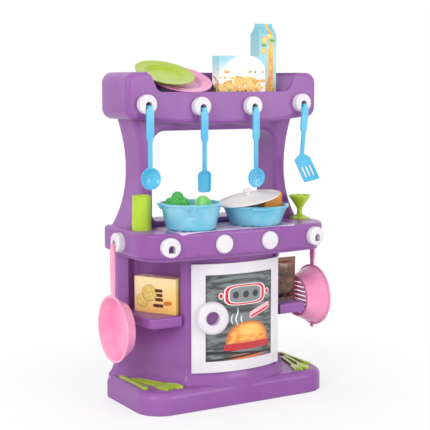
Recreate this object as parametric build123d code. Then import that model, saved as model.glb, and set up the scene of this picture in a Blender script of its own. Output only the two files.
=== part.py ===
from build123d import *
import math
import os

# Play kitchen with its toy pots, utensils, plates, packets and cutlery. Lengths are in millimetres, +Z is up,
# -Y is the front, and the origin is the middle of the plinth's underside.

# Clearances
GAP = 0.3              # between pieces that are lifted or swung
RUNNING = 0.05         # radial, a pin or spindle in its bore
CUT_LENGTH = 60.0      # of a tool that cuts right through a door, a bowl or a head

# Plinth
PLINTH_HALF_WIDTH = 214.0
PLINTH_HALF_DEPTH = 100.0
PLINTH_HEIGHT = 45.0
PLINTH_FRONT_RADIUS = 54.0
PLINTH_REAR_RADIUS = 20.0
PLINTH_EDGE = 15.0
FOOT_CHAMFER = 1.5

# Cabinet column
COLUMN_HALF_WIDTH = 108.0
COLUMN_CORNER_Y = -59.0
COLUMN_FRONT_Y = -88.0
COLUMN_REAR_INSET = 25.0
PILLAR_Y = 80.0
COLUMN_EDGE = 7.0
COLUMN_REAR_EDGE = 9.0
FLARE = 12.0
FLARE_HEIGHT = 38.0
CABINET_TOP = 300.0

# Oven cavity
OVEN_HALF_WIDTH = 84.0
OVEN_FLOOR = 82.0
OVEN_TOP = 274.0
OVEN_BACK_Y = 62.0
OVEN_CORNER = 10.0

# Niches and side shelves
SHELF_TOP = 184.0
SHELF_THICKNESS = 22.0
SHELF_INSET = 29.0
SHELF_FRONT_Y = -57.0
SHELF_REAR_Y = 58.0
SHELF_CORNER = 18.0
SHELF_EDGE = 5.0
NICHE_DEPTH = 22.0
NICHE_FRONT_BORDER = 13.0
NICHE_REAR_BORDER = 26.0
NICHE_CORNER = 8.0

# Oven door
DOOR_HALF_WIDTH = 99.0
DOOR_BOTTOM = 69.0
DOOR_TOP = 287.0
DOOR_THICKNESS = 6.0
DOOR_GAP = 1.2
DOOR_BORDER = 22.0
DOOR_RECESS = 1.4
PICTURE_THICKNESS = 0.6
RING_X = -65.0
RING_Z = 180.0
RING_RADIUS = 33.0
RING_HOLE = 13.5
RING_HEIGHT = 14.0
CAP_INSET = 3.5
CAP_THICKNESS = 2.0
HINGE_PIN_RADIUS = 1.3
HINGE_PIN_DEPTH = 12.0
HINGE_LUG = 5.0

# Worktop
WORKTOP_HALF_WIDTH = 215.0
WORKTOP_BACK_Y = 100.0
WORKTOP_FRONT_Y = -113.0
WORKTOP_BOW = 1300.0
WORKTOP_CORNER = 58.0
WORKTOP_REAR_CORNER = 18.0
WORKTOP_BOTTOM = 306.0
WORKTOP_TOP = 355.0
WORKTOP_EDGE = 7.0
LIP_INSET = 9.0

# Hob
HOB_LEFT = -148.0
HOB_RIGHT = 122.0
HOB_FRONT_Y = -105.0
HOB_BACK_Y = -2.0
HOB_DEPTH = 8.0
HOB_CORNER = 10.0
RIB_WIDTH = 3.4
RIB_PITCH = 11.0
RIB_HEIGHT = 8.6
GRID_BORDER = 3.5

# Back frame
FRAME_FRONT_Y = 8.0
FRAME_BACK_Y = 78.0
FRAME_FOOT_HALF = 203.0
FRAME_LOW_HALF = 178.0
FRAME_WAIST_HALF = 171.0
FRAME_HEAD_HALF = 188.0
FRAME_LOW_Z = 410.0
FRAME_WAIST_Z = 487.0
FRAME_EDGE = 9.0
WINDOW_HALF = 144.0
WINDOW_BOTTOM = 366.0
WINDOW_TOP = 545.0
WINDOW_TOP_CORNER = 30.0
WINDOW_LOW_CORNER = 14.0
TENON_WIDTH = 12.0
TENON_DEPTH = 40.0
TENON_LENGTH = 15.0

# Top shelf
TRAY_HALF_WIDTH = 220.0
TRAY_FRONT_Y = -31.0
TRAY_BACK_Y = 80.0
TRAY_TOP = 661.0
TRAY_END_BOTTOM = 569.0
TRAY_MIDDLE_BOTTOM = 558.0
TRAY_HEAD_HALF = 188.0
TRAY_CORNER = 22.0
TRAY_EDGE = 9.0
TRAY_WALL = 7.0
TRAY_FLOOR = 577.0
DIP_TOP = 622.5
DIP_HALF = 149.0
EAR_HALF = 172.0
TROUGH_HALF = 147.5
TROUGH_CORNER = 3.0

# Hooks and knobs
DISC_RADIUS = 19.0
HOOK_DEPTH = 15.0
DISC_EDGE = 4.5
ARCH_WIDTH = 14.0
ARCH_BOTTOM = -10.0
ARCH_TOP = 5.0
HOOK_PEG_RADIUS = 2.5
HOOK_PEG_LENGTH = 5.5
PEG_HOLE_SPARE = 0.5
HOOK_PEG_X = 12.5
TOP_HOOKS = ((-180.0, 599.0), (-60.0, 594.0), (60.0, 594.0), (180.0, 599.0))
DISC_Z = 329.5
COUNTER_HOOK_INSET = 48.4
LEFT_SIDE_HOOK_Y = 12.0
RIGHT_SIDE_HOOK_Y = -6.0
KNOB_X = 52.5
KNOB_RADIUS = 18.5
KNOB_HEIGHT = 9.0
SPINDLE_RADIUS = 4.0
SPINDLE_LENGTH = 12.0
SEAT_RADIUS = 20.5
SEAT_DEPTH = 1.2

# Hanging handles, measured from the nub that sits in a hook's arch
NUB_RADIUS = 4.0
NUB_WIDTH = 8.0
NUB_INSET = 4.5
HANDLE_GAP = 1.2
HANDLE_THICKNESS = 4.0
HANDLE_WIDTH = 15.0
HANDLE_NARROW = 8.0
HANDLE_SHOULDER = 8.0
HANDLE_WIDE_END = 56.0

LADLE_DROP = 136.0
LADLE_RADIUS = 21.5
LADLE_DEPTH = 11.0
SPOON_DROP = 163.0
SPOON_LENGTH = 43.0
SPOON_WIDTH = 29.0
SKIMMER_DROP = 139.0
SKIMMER_RADIUS = 20.0
SKIMMER_DEPTH = 5.0
SKIMMER_HOLE = 1.3
TURNER_NECK = (-8.5, -96.0)
TURNER_SHOULDERS = ((-26.0, -112.0), (12.0, -107.0))
TURNER_TIPS = ((0.0, -159.0), (38.0, -152.0))
TURNER_SLOT = 4.4
BLADE_THICKNESS = 2.4
BOWL_WALL = 2.0

PAN_DROP = 166.0
PAN_RADIUS = 67.0
PAN_BASE = 53.0
PAN_DEPTH = 25.0
COLANDER_DROP = 138.0
COLANDER_RADIUS = 65.0
COLANDER_BASE = 43.0
COLANDER_DEPTH = 44.0
COLANDER_SLOT = 2.6
COLANDER_PITCH = 9.0

# Pots and tableware
SAUCEPAN_AT = (-95.0, -56.0)
SAUCEPAN_FOOT = 49.0
SAUCEPAN_RIM = 61.0
SAUCEPAN_HEIGHT = 52.5
POT_WALL = 2.4
POT_RIM = 2.0
SPOUT_REACH = 8.0
SPOUT_RADIUS = 9.0
SPOUT_DEPTH = 12.0
SPOUT_ANGLE = 165.0
LOOP_ANGLE = -120.0
LOOP_LENGTH = 46.0
LOOP_WIDTH = 21.0
LOOP_BAR = 4.5
LOOP_SLOPE = 22.0
CASSEROLE_AT = (56.0, -53.0)
CASSEROLE_FOOT = 51.0
CASSEROLE_RIM = 67.0
CASSEROLE_HEIGHT = 40.5
EAR_ANGLE = -114.0
EAR_WIDTH = 40.0
EAR_REACH = 12.0
LID_OFFSET = -16.0
LID_RADIUS = 64.0
LID_DOME = 9.0
LID_WALL = 2.2
LID_TILT = 12.0
LID_KNOB_RADIUS = 8.0
LID_KNOB_HEIGHT = 12.0
BROCCOLI_AT = (-25.0, 8.0)
BROCCOLI_RADIUS = 13.5
BROCCOLI_RING = 14.5
BROCCOLI_DROP = 9.0
BROCCOLI_TOP = 73.0
BROCCOLI_STALK = (8.0, 13.0)
LETTUCE_AT = (19.0, -14.0)
LETTUCE_RADIUS = 21.0
LETTUCE_HEIGHT = 63.0
FILLET_THICKNESS = 26.0
TUMBLER_INSET = 32.0
TUMBLER_Y = -16.0
TUMBLER_RADIUS = 19.5
TUMBLER_HEIGHT = 68.0
GOBLET_INSET = 25.0
GOBLET_Y = -18.0
GOBLET_RIM = 23.0
GOBLET_FOOT = 21.5
GOBLET_HEIGHT = 50.0
CUP_WALL = 1.8

# Plates, leaning across the top shelf
PINK_PLATE_X = -76.0
PINK_PLATE_RADIUS = 69.0
GREEN_PLATE_SHIFT = (-31.0, 4.0)
GREEN_PLATE_RADIUS = 60.5
PLATE_DEPTH = 10.0
PLATE_WALL = 2.0
PLATE_FLANGE = 19.0
PLATE_SLOPE = 8.0

# Packets
CEREAL_X = 43.0
CEREAL_SIZE = (109.0, 28.0, 117.0)
CARTON_X = 122.5
CARTON_SIZE = (42.0, 34.0, 163.0)
CARTON_GABLE = 22.0
BISCUIT_SIZE = (96.0, 31.0, 72.0)
BISCUIT_ALONG = 54.0
CHOCOLATE_INSET = 35.0
CHOCOLATE_SIZE = (50.0, 14.0, 92.0)
CHOCOLATE_Y = -24.0
PACKET_EDGE = 0.8

# Cutlery: handle end and direction on the plinth, and overall length
CUTLERY_LENGTH = 112.0
CUTLERY_THICKNESS = 4.0
CUTLERY_HANDLE = 8.4
CUTLERY_NECK = 4.4
CUTLERY_HEAD_SHARE = 0.36
KNIFE_WIDTH = 11.0
FORK_WIDTH = 17.0
TINE_GAP = 2.0
TINE_LENGTH = 22.0
SPOON_HEAD_WIDTH = 19.0
SPOON_HOLLOW = 1.8
CUTLERY_AT = {
    "left_knife": (-195.5, 60.0), "left_fork": (-186.5, 30.0), "left_spoon": (-176.0, 22.0),
    "right_knife": (195.5, 60.0), "right_fork": (177.0, 24.0), "right_spoon": (187.0, 30.0),
}
CUTLERY_ANGLE = {
    "left_knife": -89.0, "left_fork": -74.0, "left_spoon": -64.0,
    "right_knife": -90.0, "right_fork": -106.0, "right_spoon": -99.0,
}

# Screws that hold the plinth to the cabinet
SCREW_XY = ((-120.0, 70.0), (120.0, 70.0), (-60.0, -40.0), (60.0, -40.0))
SCREW_RADIUS = 2.0
SCREW_HEAD = 4.5
SCREW_RECESS = 12.0
SCREW_BITE = 15.0

# Values that follow from the ones above
COLUMN_REAR_HALF = WORKTOP_HALF_WIDTH - COLUMN_REAR_INSET
SHELF_REACH = WORKTOP_HALF_WIDTH - SHELF_INSET
COUNTER_HOOK_X = WORKTOP_HALF_WIDTH - COUNTER_HOOK_INSET
CHOCOLATE_X = SHELF_REACH - CHOCOLATE_INSET
TUMBLER_AT = (TUMBLER_INSET - WORKTOP_HALF_WIDTH, TUMBLER_Y)
GOBLET_AT = (WORKTOP_HALF_WIDTH - GOBLET_INSET, GOBLET_Y)
WALL_ANGLE = math.atan2(COLUMN_REAR_HALF - COLUMN_HALF_WIDTH, PILLAR_Y - COLUMN_CORNER_Y)
WALL_LENGTH = math.hypot(COLUMN_REAR_HALF - COLUMN_HALF_WIDTH, PILLAR_Y - COLUMN_CORNER_Y)
FRONT_SAG = COLUMN_CORNER_Y - COLUMN_FRONT_Y
FRONT_RADIUS = (COLUMN_HALF_WIDTH**2 + FRONT_SAG**2) / (2 * FRONT_SAG)
FRONT_CENTRE_Y = COLUMN_FRONT_Y + FRONT_RADIUS
DOOR_INNER = FRONT_RADIUS + DOOR_GAP
DOOR_OUTER = DOOR_INNER + DOOR_THICKNESS
DOOR_MIDDLE = (DOOR_INNER + DOOR_OUTER) / 2
HINGE_ANGLE = math.asin(DOOR_HALF_WIDTH / DOOR_MIDDLE)
HINGE_X = DOOR_MIDDLE * math.sin(HINGE_ANGLE)
HINGE_Y = FRONT_CENTRE_Y - DOOR_MIDDLE * math.cos(HINGE_ANGLE)
HOB_FLOOR = WORKTOP_TOP - HOB_DEPTH
RIB_TOP = HOB_FLOOR + RIB_HEIGHT
PIVOT_Y = -HOOK_DEPTH + NUB_INSET
PIVOT_Z = ARCH_BOTTOM + NUB_RADIUS + GAP
HANDLE_BACK = -(NUB_INSET + HANDLE_GAP)
HANDLE_FRONT = HANDLE_BACK - HANDLE_THICKNESS


def prism_z(sketch, low, high):
    """A sketch drawn in plan, raised from one height to another."""
    return Pos(0, 0, low) * extrude(sketch, high - low)


def prism_y(sketch, front, back):
    """A sketch drawn in front view, from one Y to another."""
    return extrude(Plane.XZ.offset(-back) * sketch, back - front)


def outline(points, radii):
    """A closed outline of straight runs with a rounding at each corner."""
    return make_face(FilletPolyline(*points, radius=radii, close=True))


def turned(points):
    """A profile in radius and height, turned about the Z axis."""
    return revolve(Plane.XZ * make_face(Polyline(*points, close=True)), Axis.Z)


def box_between(low, high):
    """A box from its lowest to its highest corner."""
    size = [h - l for l, h in zip(low, high)]
    middle = [(h + l) / 2 for l, h in zip(low, high)]
    return Pos(*middle) * Box(*size)


def dish(rim, depth, wall):
    """A shell of a sphere, open upwards, with its rim at height zero."""
    def cap(radius, drop):
        """Half the section of a ball's cap."""
        ball = (radius**2 + drop**2) / (2 * drop)
        half = math.asin(min(1.0, radius / ball)) / 2
        middle = (ball * math.sin(half), ball - drop - ball * math.cos(half))
        arc = ThreePointArc((0, -drop), middle, (radius, 0))
        rest = Polyline((radius, 0), (0, 0), (0, -drop))
        return revolve(Plane.XZ * make_face([*arc.edges(), *rest.edges()]), Axis.Z)

    return cap(rim, depth) - cap(rim - wall, depth - wall)


def plinth_plan():
    """The plinth seen from above: broad front corners, tighter rear ones."""
    plan = Rectangle(2 * PLINTH_HALF_WIDTH, 2 * PLINTH_HALF_DEPTH)
    plan = fillet(plan.vertices().sort_by(Axis.Y)[:2], PLINTH_FRONT_RADIUS)
    return fillet(plan.vertices().sort_by(Axis.Y)[-2:], PLINTH_REAR_RADIUS)


def column_corner(grow):
    """Where the bowed front meets the slanting side once both have moved out by grow."""
    front = (COLUMN_HALF_WIDTH / FRONT_RADIUS, (COLUMN_CORNER_Y - FRONT_CENTRE_Y) / FRONT_RADIUS)
    side = (math.cos(WALL_ANGLE), -math.sin(WALL_ANGLE))
    det = front[0] * side[1] - front[1] * side[0]
    return (
        COLUMN_HALF_WIDTH + grow * (side[1] - front[1]) / det,
        COLUMN_CORNER_Y + grow * (front[0] - side[0]) / det,
    )


def cabinet_plan(grow=0.0):
    """The cabinet seen from above: bowed front, slanting sides, rear pillars."""
    corner_x, corner_y = column_corner(grow)
    rear_x = COLUMN_REAR_HALF + grow / math.cos(WALL_ANGLE)
    back_y = PLINTH_HALF_DEPTH
    front = ThreePointArc((-corner_x, corner_y), (0, COLUMN_FRONT_Y - grow), (corner_x, corner_y))
    sides = Polyline(
        (corner_x, corner_y), (rear_x, PILLAR_Y), (rear_x, back_y),
        (-rear_x, back_y), (-rear_x, PILLAR_Y), (-corner_x, corner_y),
    )
    plan = make_face([*front.edges(), *sides.edges()])
    plan = fillet(plan.vertices().sort_by(Axis.Y)[:2], COLUMN_EDGE)
    return fillet(plan.vertices().sort_by(Axis.Y)[-4:-2], COLUMN_REAR_EDGE)


def plinth():
    """The foot: a rounded slab, with a pad under the column that keeps its front face upright."""
    plan = plinth_plan()
    slab = prism_z(plan, 0, PLINTH_HEIGHT)
    slab = fillet(slab.faces().sort_by(Axis.Z)[-1].edges(), PLINTH_EDGE)
    slab += prism_z(cabinet_plan(FLARE) & plan, 0, PLINTH_HEIGHT)
    slab = chamfer(slab.faces().sort_by(Axis.Z)[0].edges(), FOOT_CHAMFER)
    for x, y in SCREW_XY:
        slab -= Pos(x, y, SCREW_RECESS / 2) * Cylinder(SCREW_HEAD + 1.0, SCREW_RECESS)
        slab -= Pos(x, y, PLINTH_HEIGHT / 2) * Cylinder(SCREW_RADIUS + 0.3, PLINTH_HEIGHT)
    return slab


def screws():
    """Pan-head screws, up through the plinth into the cabinet."""
    group = []
    length = PLINTH_HEIGHT + SCREW_BITE - SCREW_RECESS
    for x, y in SCREW_XY:
        shank = Pos(x, y, SCREW_RECESS + length / 2) * Cylinder(SCREW_RADIUS, length)
        head = Pos(x, y, SCREW_RECESS - 1.5) * Cylinder(SCREW_HEAD, 3.0)
        group.append(shank + head)
    return Compound(children=group)


def niche(side):
    """The space cut out of a slanting side above its shelf."""
    low = NICHE_FRONT_BORDER
    high = WALL_LENGTH - NICHE_REAR_BORDER
    plan = outline(
        [(-NICHE_DEPTH, low), (NICHE_DEPTH, low), (NICHE_DEPTH, high), (-NICHE_DEPTH, high)],
        [NICHE_CORNER, 0, 0, NICHE_CORNER],
    )
    cut = prism_z(plan, SHELF_TOP, CABINET_TOP + 1)
    cut = Pos(COLUMN_HALF_WIDTH, COLUMN_CORNER_Y, 0) * Rot(0, 0, -math.degrees(WALL_ANGLE)) * cut
    return cut if side > 0 else mirror(cut, Plane.YZ)


def hinge_lug(low, high):
    """A small ear on the column's front that holds one hinge pin."""
    reach = DOOR_THICKNESS + DOOR_GAP + 6.0
    lug = Pos(0, -(DOOR_OUTER - reach / 2), (low + high) / 2) * Box(2 * DOOR_THICKNESS, reach, high - low)
    lug = fillet(lug.edges().filter_by(Axis.Z).sort_by(Axis.Y)[:2], DOOR_THICKNESS / 2)
    return Pos(0, FRONT_CENTRE_Y, 0) * Rot(0, 0, math.degrees(HINGE_ANGLE)) * lug


def cabinet():
    """The column: flared foot, oven cavity, a niche each side and the door's hinge lugs."""
    steps = ((0.0, 1.0), (0.14, 0.6), (0.34, 0.27), (0.6, 0.05), (1.0, 0.0))
    sections = [
        Pos(0, 0, PLINTH_HEIGHT + h * FLARE_HEIGHT) * cabinet_plan(g * FLARE) for h, g in steps
    ]
    foot = loft(sections)
    body = foot + prism_z(cabinet_plan(), PLINTH_HEIGHT + FLARE_HEIGHT, CABINET_TOP)
    cavity = box_between(
        (-OVEN_HALF_WIDTH, COLUMN_FRONT_Y - FLARE, OVEN_FLOOR), (OVEN_HALF_WIDTH, OVEN_BACK_Y, OVEN_TOP)
    )
    cavity = fillet(cavity.edges().filter_by(Axis.Y), OVEN_CORNER)
    body -= cavity
    body -= niche(1)
    body -= niche(-1)
    for x, y in SCREW_XY:
        low = PLINTH_HEIGHT - 1
        body -= Pos(x, y, low + (SCREW_BITE + 2) / 2) * Cylinder(SCREW_RADIUS + RUNNING, SCREW_BITE + 2)
    body += hinge_lug(DOOR_TOP + DOOR_GAP, DOOR_TOP + DOOR_GAP + HINGE_LUG)
    body += hinge_lug(DOOR_BOTTOM - DOOR_GAP - HINGE_LUG, DOOR_BOTTOM - DOOR_GAP)
    bore = HINGE_PIN_RADIUS + RUNNING
    span = DOOR_GAP + HINGE_LUG + 1
    body -= Pos(HINGE_X, HINGE_Y, DOOR_TOP + span / 2) * Cylinder(bore, span)
    body -= Pos(HINGE_X, HINGE_Y, DOOR_BOTTOM - span / 2) * Cylinder(bore, span)
    return body


def side_shelf(side):
    """A bracket shelf along one slanting side, with a rounded front corner."""
    tangent = math.tan(WALL_ANGLE)

    def wall_x(y):
        """Where the slanting side stands at a given Y."""
        return COLUMN_HALF_WIDTH + (y - COLUMN_CORNER_Y) * tangent

    plan = outline(
        [
            (wall_x(SHELF_FRONT_Y) + COLUMN_EDGE, SHELF_FRONT_Y), (SHELF_REACH, SHELF_FRONT_Y),
            (SHELF_REACH, SHELF_REAR_Y), (wall_x(SHELF_REAR_Y), SHELF_REAR_Y),
            (wall_x(SHELF_FRONT_Y + 2 * COLUMN_EDGE), SHELF_FRONT_Y + 2 * COLUMN_EDGE),
        ],
        [0, SHELF_CORNER, 0, 0, 0],
    )
    shelf = prism_z(plan, SHELF_TOP - SHELF_THICKNESS, SHELF_TOP)
    rims = shelf.edges().filter_by(
        lambda e: abs(e.center().X) > SHELF_REACH - 1 or e.geom_type == GeomType.CIRCLE
    )
    middle = SHELF_TOP - SHELF_THICKNESS / 2
    level = [e for e in rims if abs(e.center().Z - middle) > SHELF_THICKNESS / 2 - 1]
    shelf = fillet(level, SHELF_EDGE)
    return shelf if side > 0 else mirror(shelf, Plane.YZ)


def door_band(inner, outer, half_width):
    """A curved slab that follows the door's bow, as wide as asked."""
    band = Circle(outer) - Circle(inner)
    band &= Pos(0, -(inner + outer) / 2) * Rectangle(2 * half_width, 2 * FRONT_SAG + 4 * DOOR_THICKNESS)
    return Pos(0, FRONT_CENTRE_Y, 0) * band


def oven_door():
    """The bowed door: raised white border, sunken picture field, finger hole and hinge bores."""
    half = DOOR_THICKNESS / 2
    plan = door_band(DOOR_INNER, DOOR_OUTER, HINGE_X)
    plan += Pos(HINGE_X, HINGE_Y) * Circle(half)
    plan += Pos(-HINGE_X, HINGE_Y) * Circle(half)
    door = prism_z(plan, DOOR_BOTTOM, DOOR_TOP)
    field = prism_z(
        door_band(DOOR_OUTER - DOOR_RECESS, DOOR_OUTER + 5, DOOR_HALF_WIDTH - DOOR_BORDER),
        DOOR_BOTTOM + DOOR_BORDER, DOOR_TOP - DOOR_BORDER,
    )
    door -= field
    door -= ring_place() * Cylinder(RING_HOLE, CUT_LENGTH)
    bore = HINGE_PIN_RADIUS + RUNNING
    for z in (DOOR_BOTTOM + HINGE_PIN_DEPTH / 2, DOOR_TOP - HINGE_PIN_DEPTH / 2):
        door -= Pos(HINGE_X, HINGE_Y, z) * Cylinder(bore, HINGE_PIN_DEPTH)
    return door


def ring_place():
    """The frame of the ring handle: its axis stands square on the bowed door."""
    angle = math.asin(RING_X / DOOR_OUTER)
    return (
        Pos(0, FRONT_CENTRE_Y, RING_Z) * Rot(0, 0, math.degrees(angle))
        * Pos(0, -DOOR_OUTER, 0) * Rot(90, 0, 0)
    )


def door_picture():
    """The sheet in the door's sunken field, cut away round the ring handle."""
    inner = DOOR_OUTER - DOOR_RECESS
    sheet = prism_z(
        door_band(inner, inner + PICTURE_THICKNESS, DOOR_HALF_WIDTH - DOOR_BORDER - GAP),
        DOOR_BOTTOM + DOOR_BORDER + GAP, DOOR_TOP - DOOR_BORDER - GAP,
    )
    return sheet - ring_place() * Cylinder(RING_RADIUS + GAP, CUT_LENGTH)


def door_hole_cap():
    """The purple cap that closes the back of the finger hole."""
    middle = CAP_INSET + CAP_THICKNESS / 2
    return ring_place() * Pos(0, 0, -middle) * Cylinder(RING_HOLE - RUNNING, CAP_THICKNESS)


def door_ring_handle(door):
    """The round handle: a domed ring that the fingers go into."""
    low = -8.0
    profile = outline(
        [(RING_HOLE, low), (RING_RADIUS, low), (RING_RADIUS, RING_HEIGHT), (RING_HOLE, RING_HEIGHT)],
        [0, 0, 0.62 * RING_HEIGHT, 0.3 * RING_HEIGHT],
    )
    ring = revolve(Plane.XZ * profile, Axis.Z)
    ring = ring_place() * ring
    inside = prism_z(Pos(0, FRONT_CENTRE_Y) * Circle(DOOR_OUTER - DOOR_RECESS), 0, CABINET_TOP)
    return ring - inside - door


def hinge_pins():
    """Steel pins, one in each lug, reaching into the door's edge."""
    length = HINGE_PIN_DEPTH - 1 + DOOR_GAP + HINGE_LUG
    top = DOOR_TOP + DOOR_GAP + HINGE_LUG - length / 2
    low = DOOR_BOTTOM - DOOR_GAP - HINGE_LUG + length / 2
    pin = Cylinder(HINGE_PIN_RADIUS, length)
    return Compound(children=[Pos(HINGE_X, HINGE_Y, z) * pin for z in (low, top)])


def worktop_plan(inset=0.0):
    """The worktop seen from above: a slightly bowed front and broad front corners."""
    depth = WORKTOP_BACK_Y - WORKTOP_FRONT_Y
    plan = Pos(0, (WORKTOP_BACK_Y + WORKTOP_FRONT_Y) / 2) * Rectangle(2 * (WORKTOP_HALF_WIDTH - inset), depth)
    plan &= Pos(0, WORKTOP_FRONT_Y + WORKTOP_BOW) * Circle(WORKTOP_BOW - inset)
    if inset:
        middle = Pos(0, (WORKTOP_BACK_Y + WORKTOP_FRONT_Y) / 2)
        plan &= middle * Rectangle(2 * (WORKTOP_HALF_WIDTH - inset), depth - 2 * inset)
    plan = fillet(plan.vertices().sort_by(Axis.Y)[:2], WORKTOP_CORNER - inset)
    return fillet(plan.vertices().sort_by(Axis.Y)[-2:], WORKTOP_REAR_CORNER - inset / 2)


def worktop_front(x):
    """The Y of the worktop's bowed front face at a given X."""
    return WORKTOP_FRONT_Y + WORKTOP_BOW - math.sqrt(WORKTOP_BOW**2 - x**2)


def counter_places():
    """Frames of the two knobs and four hooks on the worktop's edge: origin on the seat, -Y outwards."""
    lean = math.degrees(math.asin(COUNTER_HOOK_X / WORKTOP_BOW))
    seat_y = worktop_front(COUNTER_HOOK_X) + 2 * SEAT_DEPTH
    knob_y = worktop_front(KNOB_X) + SEAT_DEPTH
    return {
        "left_knob": Pos(-KNOB_X, knob_y, DISC_Z),
        "right_knob": Pos(KNOB_X, knob_y, DISC_Z),
        "counter_hook_left": Pos(-COUNTER_HOOK_X, seat_y, DISC_Z) * Rot(0, 0, -lean),
        "counter_hook_right": Pos(COUNTER_HOOK_X, seat_y, DISC_Z) * Rot(0, 0, lean),
        "side_hook_left": Pos(-WORKTOP_HALF_WIDTH, LEFT_SIDE_HOOK_Y, DISC_Z) * Rot(0, 0, -90),
        "side_hook_right": Pos(WORKTOP_HALF_WIDTH, RIGHT_SIDE_HOOK_Y, DISC_Z) * Rot(0, 0, 90),
    }


def peg_holes():
    """The two sockets behind a hook."""
    bore = Rot(90, 0, 0) * Cylinder(HOOK_PEG_RADIUS + RUNNING, 2 * (HOOK_PEG_LENGTH + PEG_HOLE_SPARE))
    return Pos(HOOK_PEG_X, 0, 0) * bore + Pos(-HOOK_PEG_X, 0, 0) * bore


def worktop():
    """The counter: rounded edge, hob well, seats for knobs and hooks, sockets for the back frame."""
    slab = prism_z(worktop_plan(), WORKTOP_BOTTOM, WORKTOP_TOP)
    levels = slab.faces().sort_by(Axis.Z)
    slab = fillet(levels[-1].edges() + levels[0].edges(), WORKTOP_EDGE)
    slab += prism_z(worktop_plan(LIP_INSET), CABINET_TOP, WORKTOP_BOTTOM + 1)
    well = box_between((HOB_LEFT, HOB_FRONT_Y, HOB_FLOOR), (HOB_RIGHT, HOB_BACK_Y, WORKTOP_TOP + 1))
    slab -= fillet(well.edges().filter_by(Axis.Z), HOB_CORNER)
    seat = Rot(90, 0, 0) * Cylinder(SEAT_RADIUS, 20)
    for name, place in counter_places().items():
        slab -= place * Pos(0, -10, 0) * seat
        if "knob" in name:
            slab -= place * Rot(90, 0, 0) * Cylinder(SPINDLE_RADIUS + RUNNING, 2 * SPINDLE_LENGTH + 2)
        else:
            slab -= place * peg_holes()
    for side in (-1, 1):
        slab -= tenon(side, WORKTOP_TOP - TENON_LENGTH, WORKTOP_TOP + 1, GAP)
    return slab


def tenon(side, low, high, clearance=0.0):
    """A tongue under or over an upright of the back frame."""
    middle = (WINDOW_HALF + FRAME_WAIST_HALF) / 2
    half = TENON_WIDTH / 2 + clearance
    depth = TENON_DEPTH / 2 + clearance
    centre_y = (FRAME_FRONT_Y + FRAME_BACK_Y) / 2
    return box_between(
        (side * middle - half, centre_y - depth, low - clearance),
        (side * middle + half, centre_y + depth, high),
    )


def hob_grid():
    """The grill in the hob well: a thin border and ribs that run front to back."""
    left, right = HOB_LEFT + GAP, HOB_RIGHT - GAP
    front, back = HOB_FRONT_Y + GAP, HOB_BACK_Y - GAP
    middle = Pos((left + right) / 2, (front + back) / 2)
    plan = middle * RectangleRounded(right - left, back - front, HOB_CORNER - GAP)
    plan -= middle * RectangleRounded(
        right - left - 2 * GRID_BORDER, back - front - 2 * GRID_BORDER, HOB_CORNER - GRID_BORDER
    )
    count = int((right - left - 2 * GRID_BORDER) // RIB_PITCH)
    for i in range(1, count + 1):
        x = (left + right) / 2 + (i - (count + 1) / 2) * RIB_PITCH
        plan += Pos(x, (front + back) / 2) * Rectangle(RIB_WIDTH, back - front - GRID_BORDER)
    return prism_z(plan, HOB_FLOOR, RIB_TOP)


def shelf_underside(back):
    """The arc along the top shelf's lower edge, with a straight run behind it at the given height."""
    arc = ThreePointArc(
        (-TRAY_HEAD_HALF, TRAY_END_BOTTOM), (0, TRAY_MIDDLE_BOTTOM), (TRAY_HEAD_HALF, TRAY_END_BOTTOM)
    )
    rest = Polyline(
        (TRAY_HEAD_HALF, TRAY_END_BOTTOM), (TRAY_HEAD_HALF, back), (-TRAY_HEAD_HALF, back),
        (-TRAY_HEAD_HALF, TRAY_END_BOTTOM),
    )
    return make_face([*arc.edges(), *rest.edges()])


def back_frame():
    """The arch behind the worktop: two waisted uprights, a low rail and a head, round a window."""
    left = Spline(
        (-FRAME_FOOT_HALF, WORKTOP_TOP), (-FRAME_LOW_HALF, FRAME_LOW_Z),
        (-FRAME_WAIST_HALF, FRAME_WAIST_Z), (-FRAME_HEAD_HALF, TRAY_END_BOTTOM),
    )
    right = Spline(
        (FRAME_HEAD_HALF, TRAY_END_BOTTOM), (FRAME_WAIST_HALF, FRAME_WAIST_Z),
        (FRAME_LOW_HALF, FRAME_LOW_Z), (FRAME_FOOT_HALF, WORKTOP_TOP),
    )
    head = Line((-FRAME_HEAD_HALF, TRAY_END_BOTTOM), (FRAME_HEAD_HALF, TRAY_END_BOTTOM))
    foot = Line((FRAME_FOOT_HALF, WORKTOP_TOP), (-FRAME_FOOT_HALF, WORKTOP_TOP))
    front_view = make_face([*left.edges(), *head.edges(), *right.edges(), *foot.edges()])
    window = outline(
        [
            (-WINDOW_HALF, WINDOW_BOTTOM), (WINDOW_HALF, WINDOW_BOTTOM),
            (WINDOW_HALF, WINDOW_TOP), (-WINDOW_HALF, WINDOW_TOP),
        ],
        [WINDOW_LOW_CORNER, WINDOW_LOW_CORNER, WINDOW_TOP_CORNER, WINDOW_TOP_CORNER],
    )
    frame = prism_y(front_view, FRAME_FRONT_Y, FRAME_BACK_Y)
    frame -= prism_y(window, FRAME_FRONT_Y - 1, FRAME_BACK_Y + 1)
    rims = [
        e for e in frame.edges()
        if abs(e.center().Y - FRAME_FRONT_Y) < 0.1 and WORKTOP_TOP + 1 < e.center().Z < WINDOW_TOP + 0.5
    ]
    frame = fillet(rims, FRAME_EDGE)
    frame -= prism_y(shelf_underside(TRAY_TOP), FRAME_FRONT_Y - 1, FRAME_BACK_Y + 1)
    for side in (-1, 1):
        frame += tenon(side, WORKTOP_TOP - TENON_LENGTH, WORKTOP_TOP + 1)
        frame += tenon(side, TRAY_END_BOTTOM - TENON_LENGTH, TRAY_END_BOTTOM + TENON_LENGTH / 2)
    return frame


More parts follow.
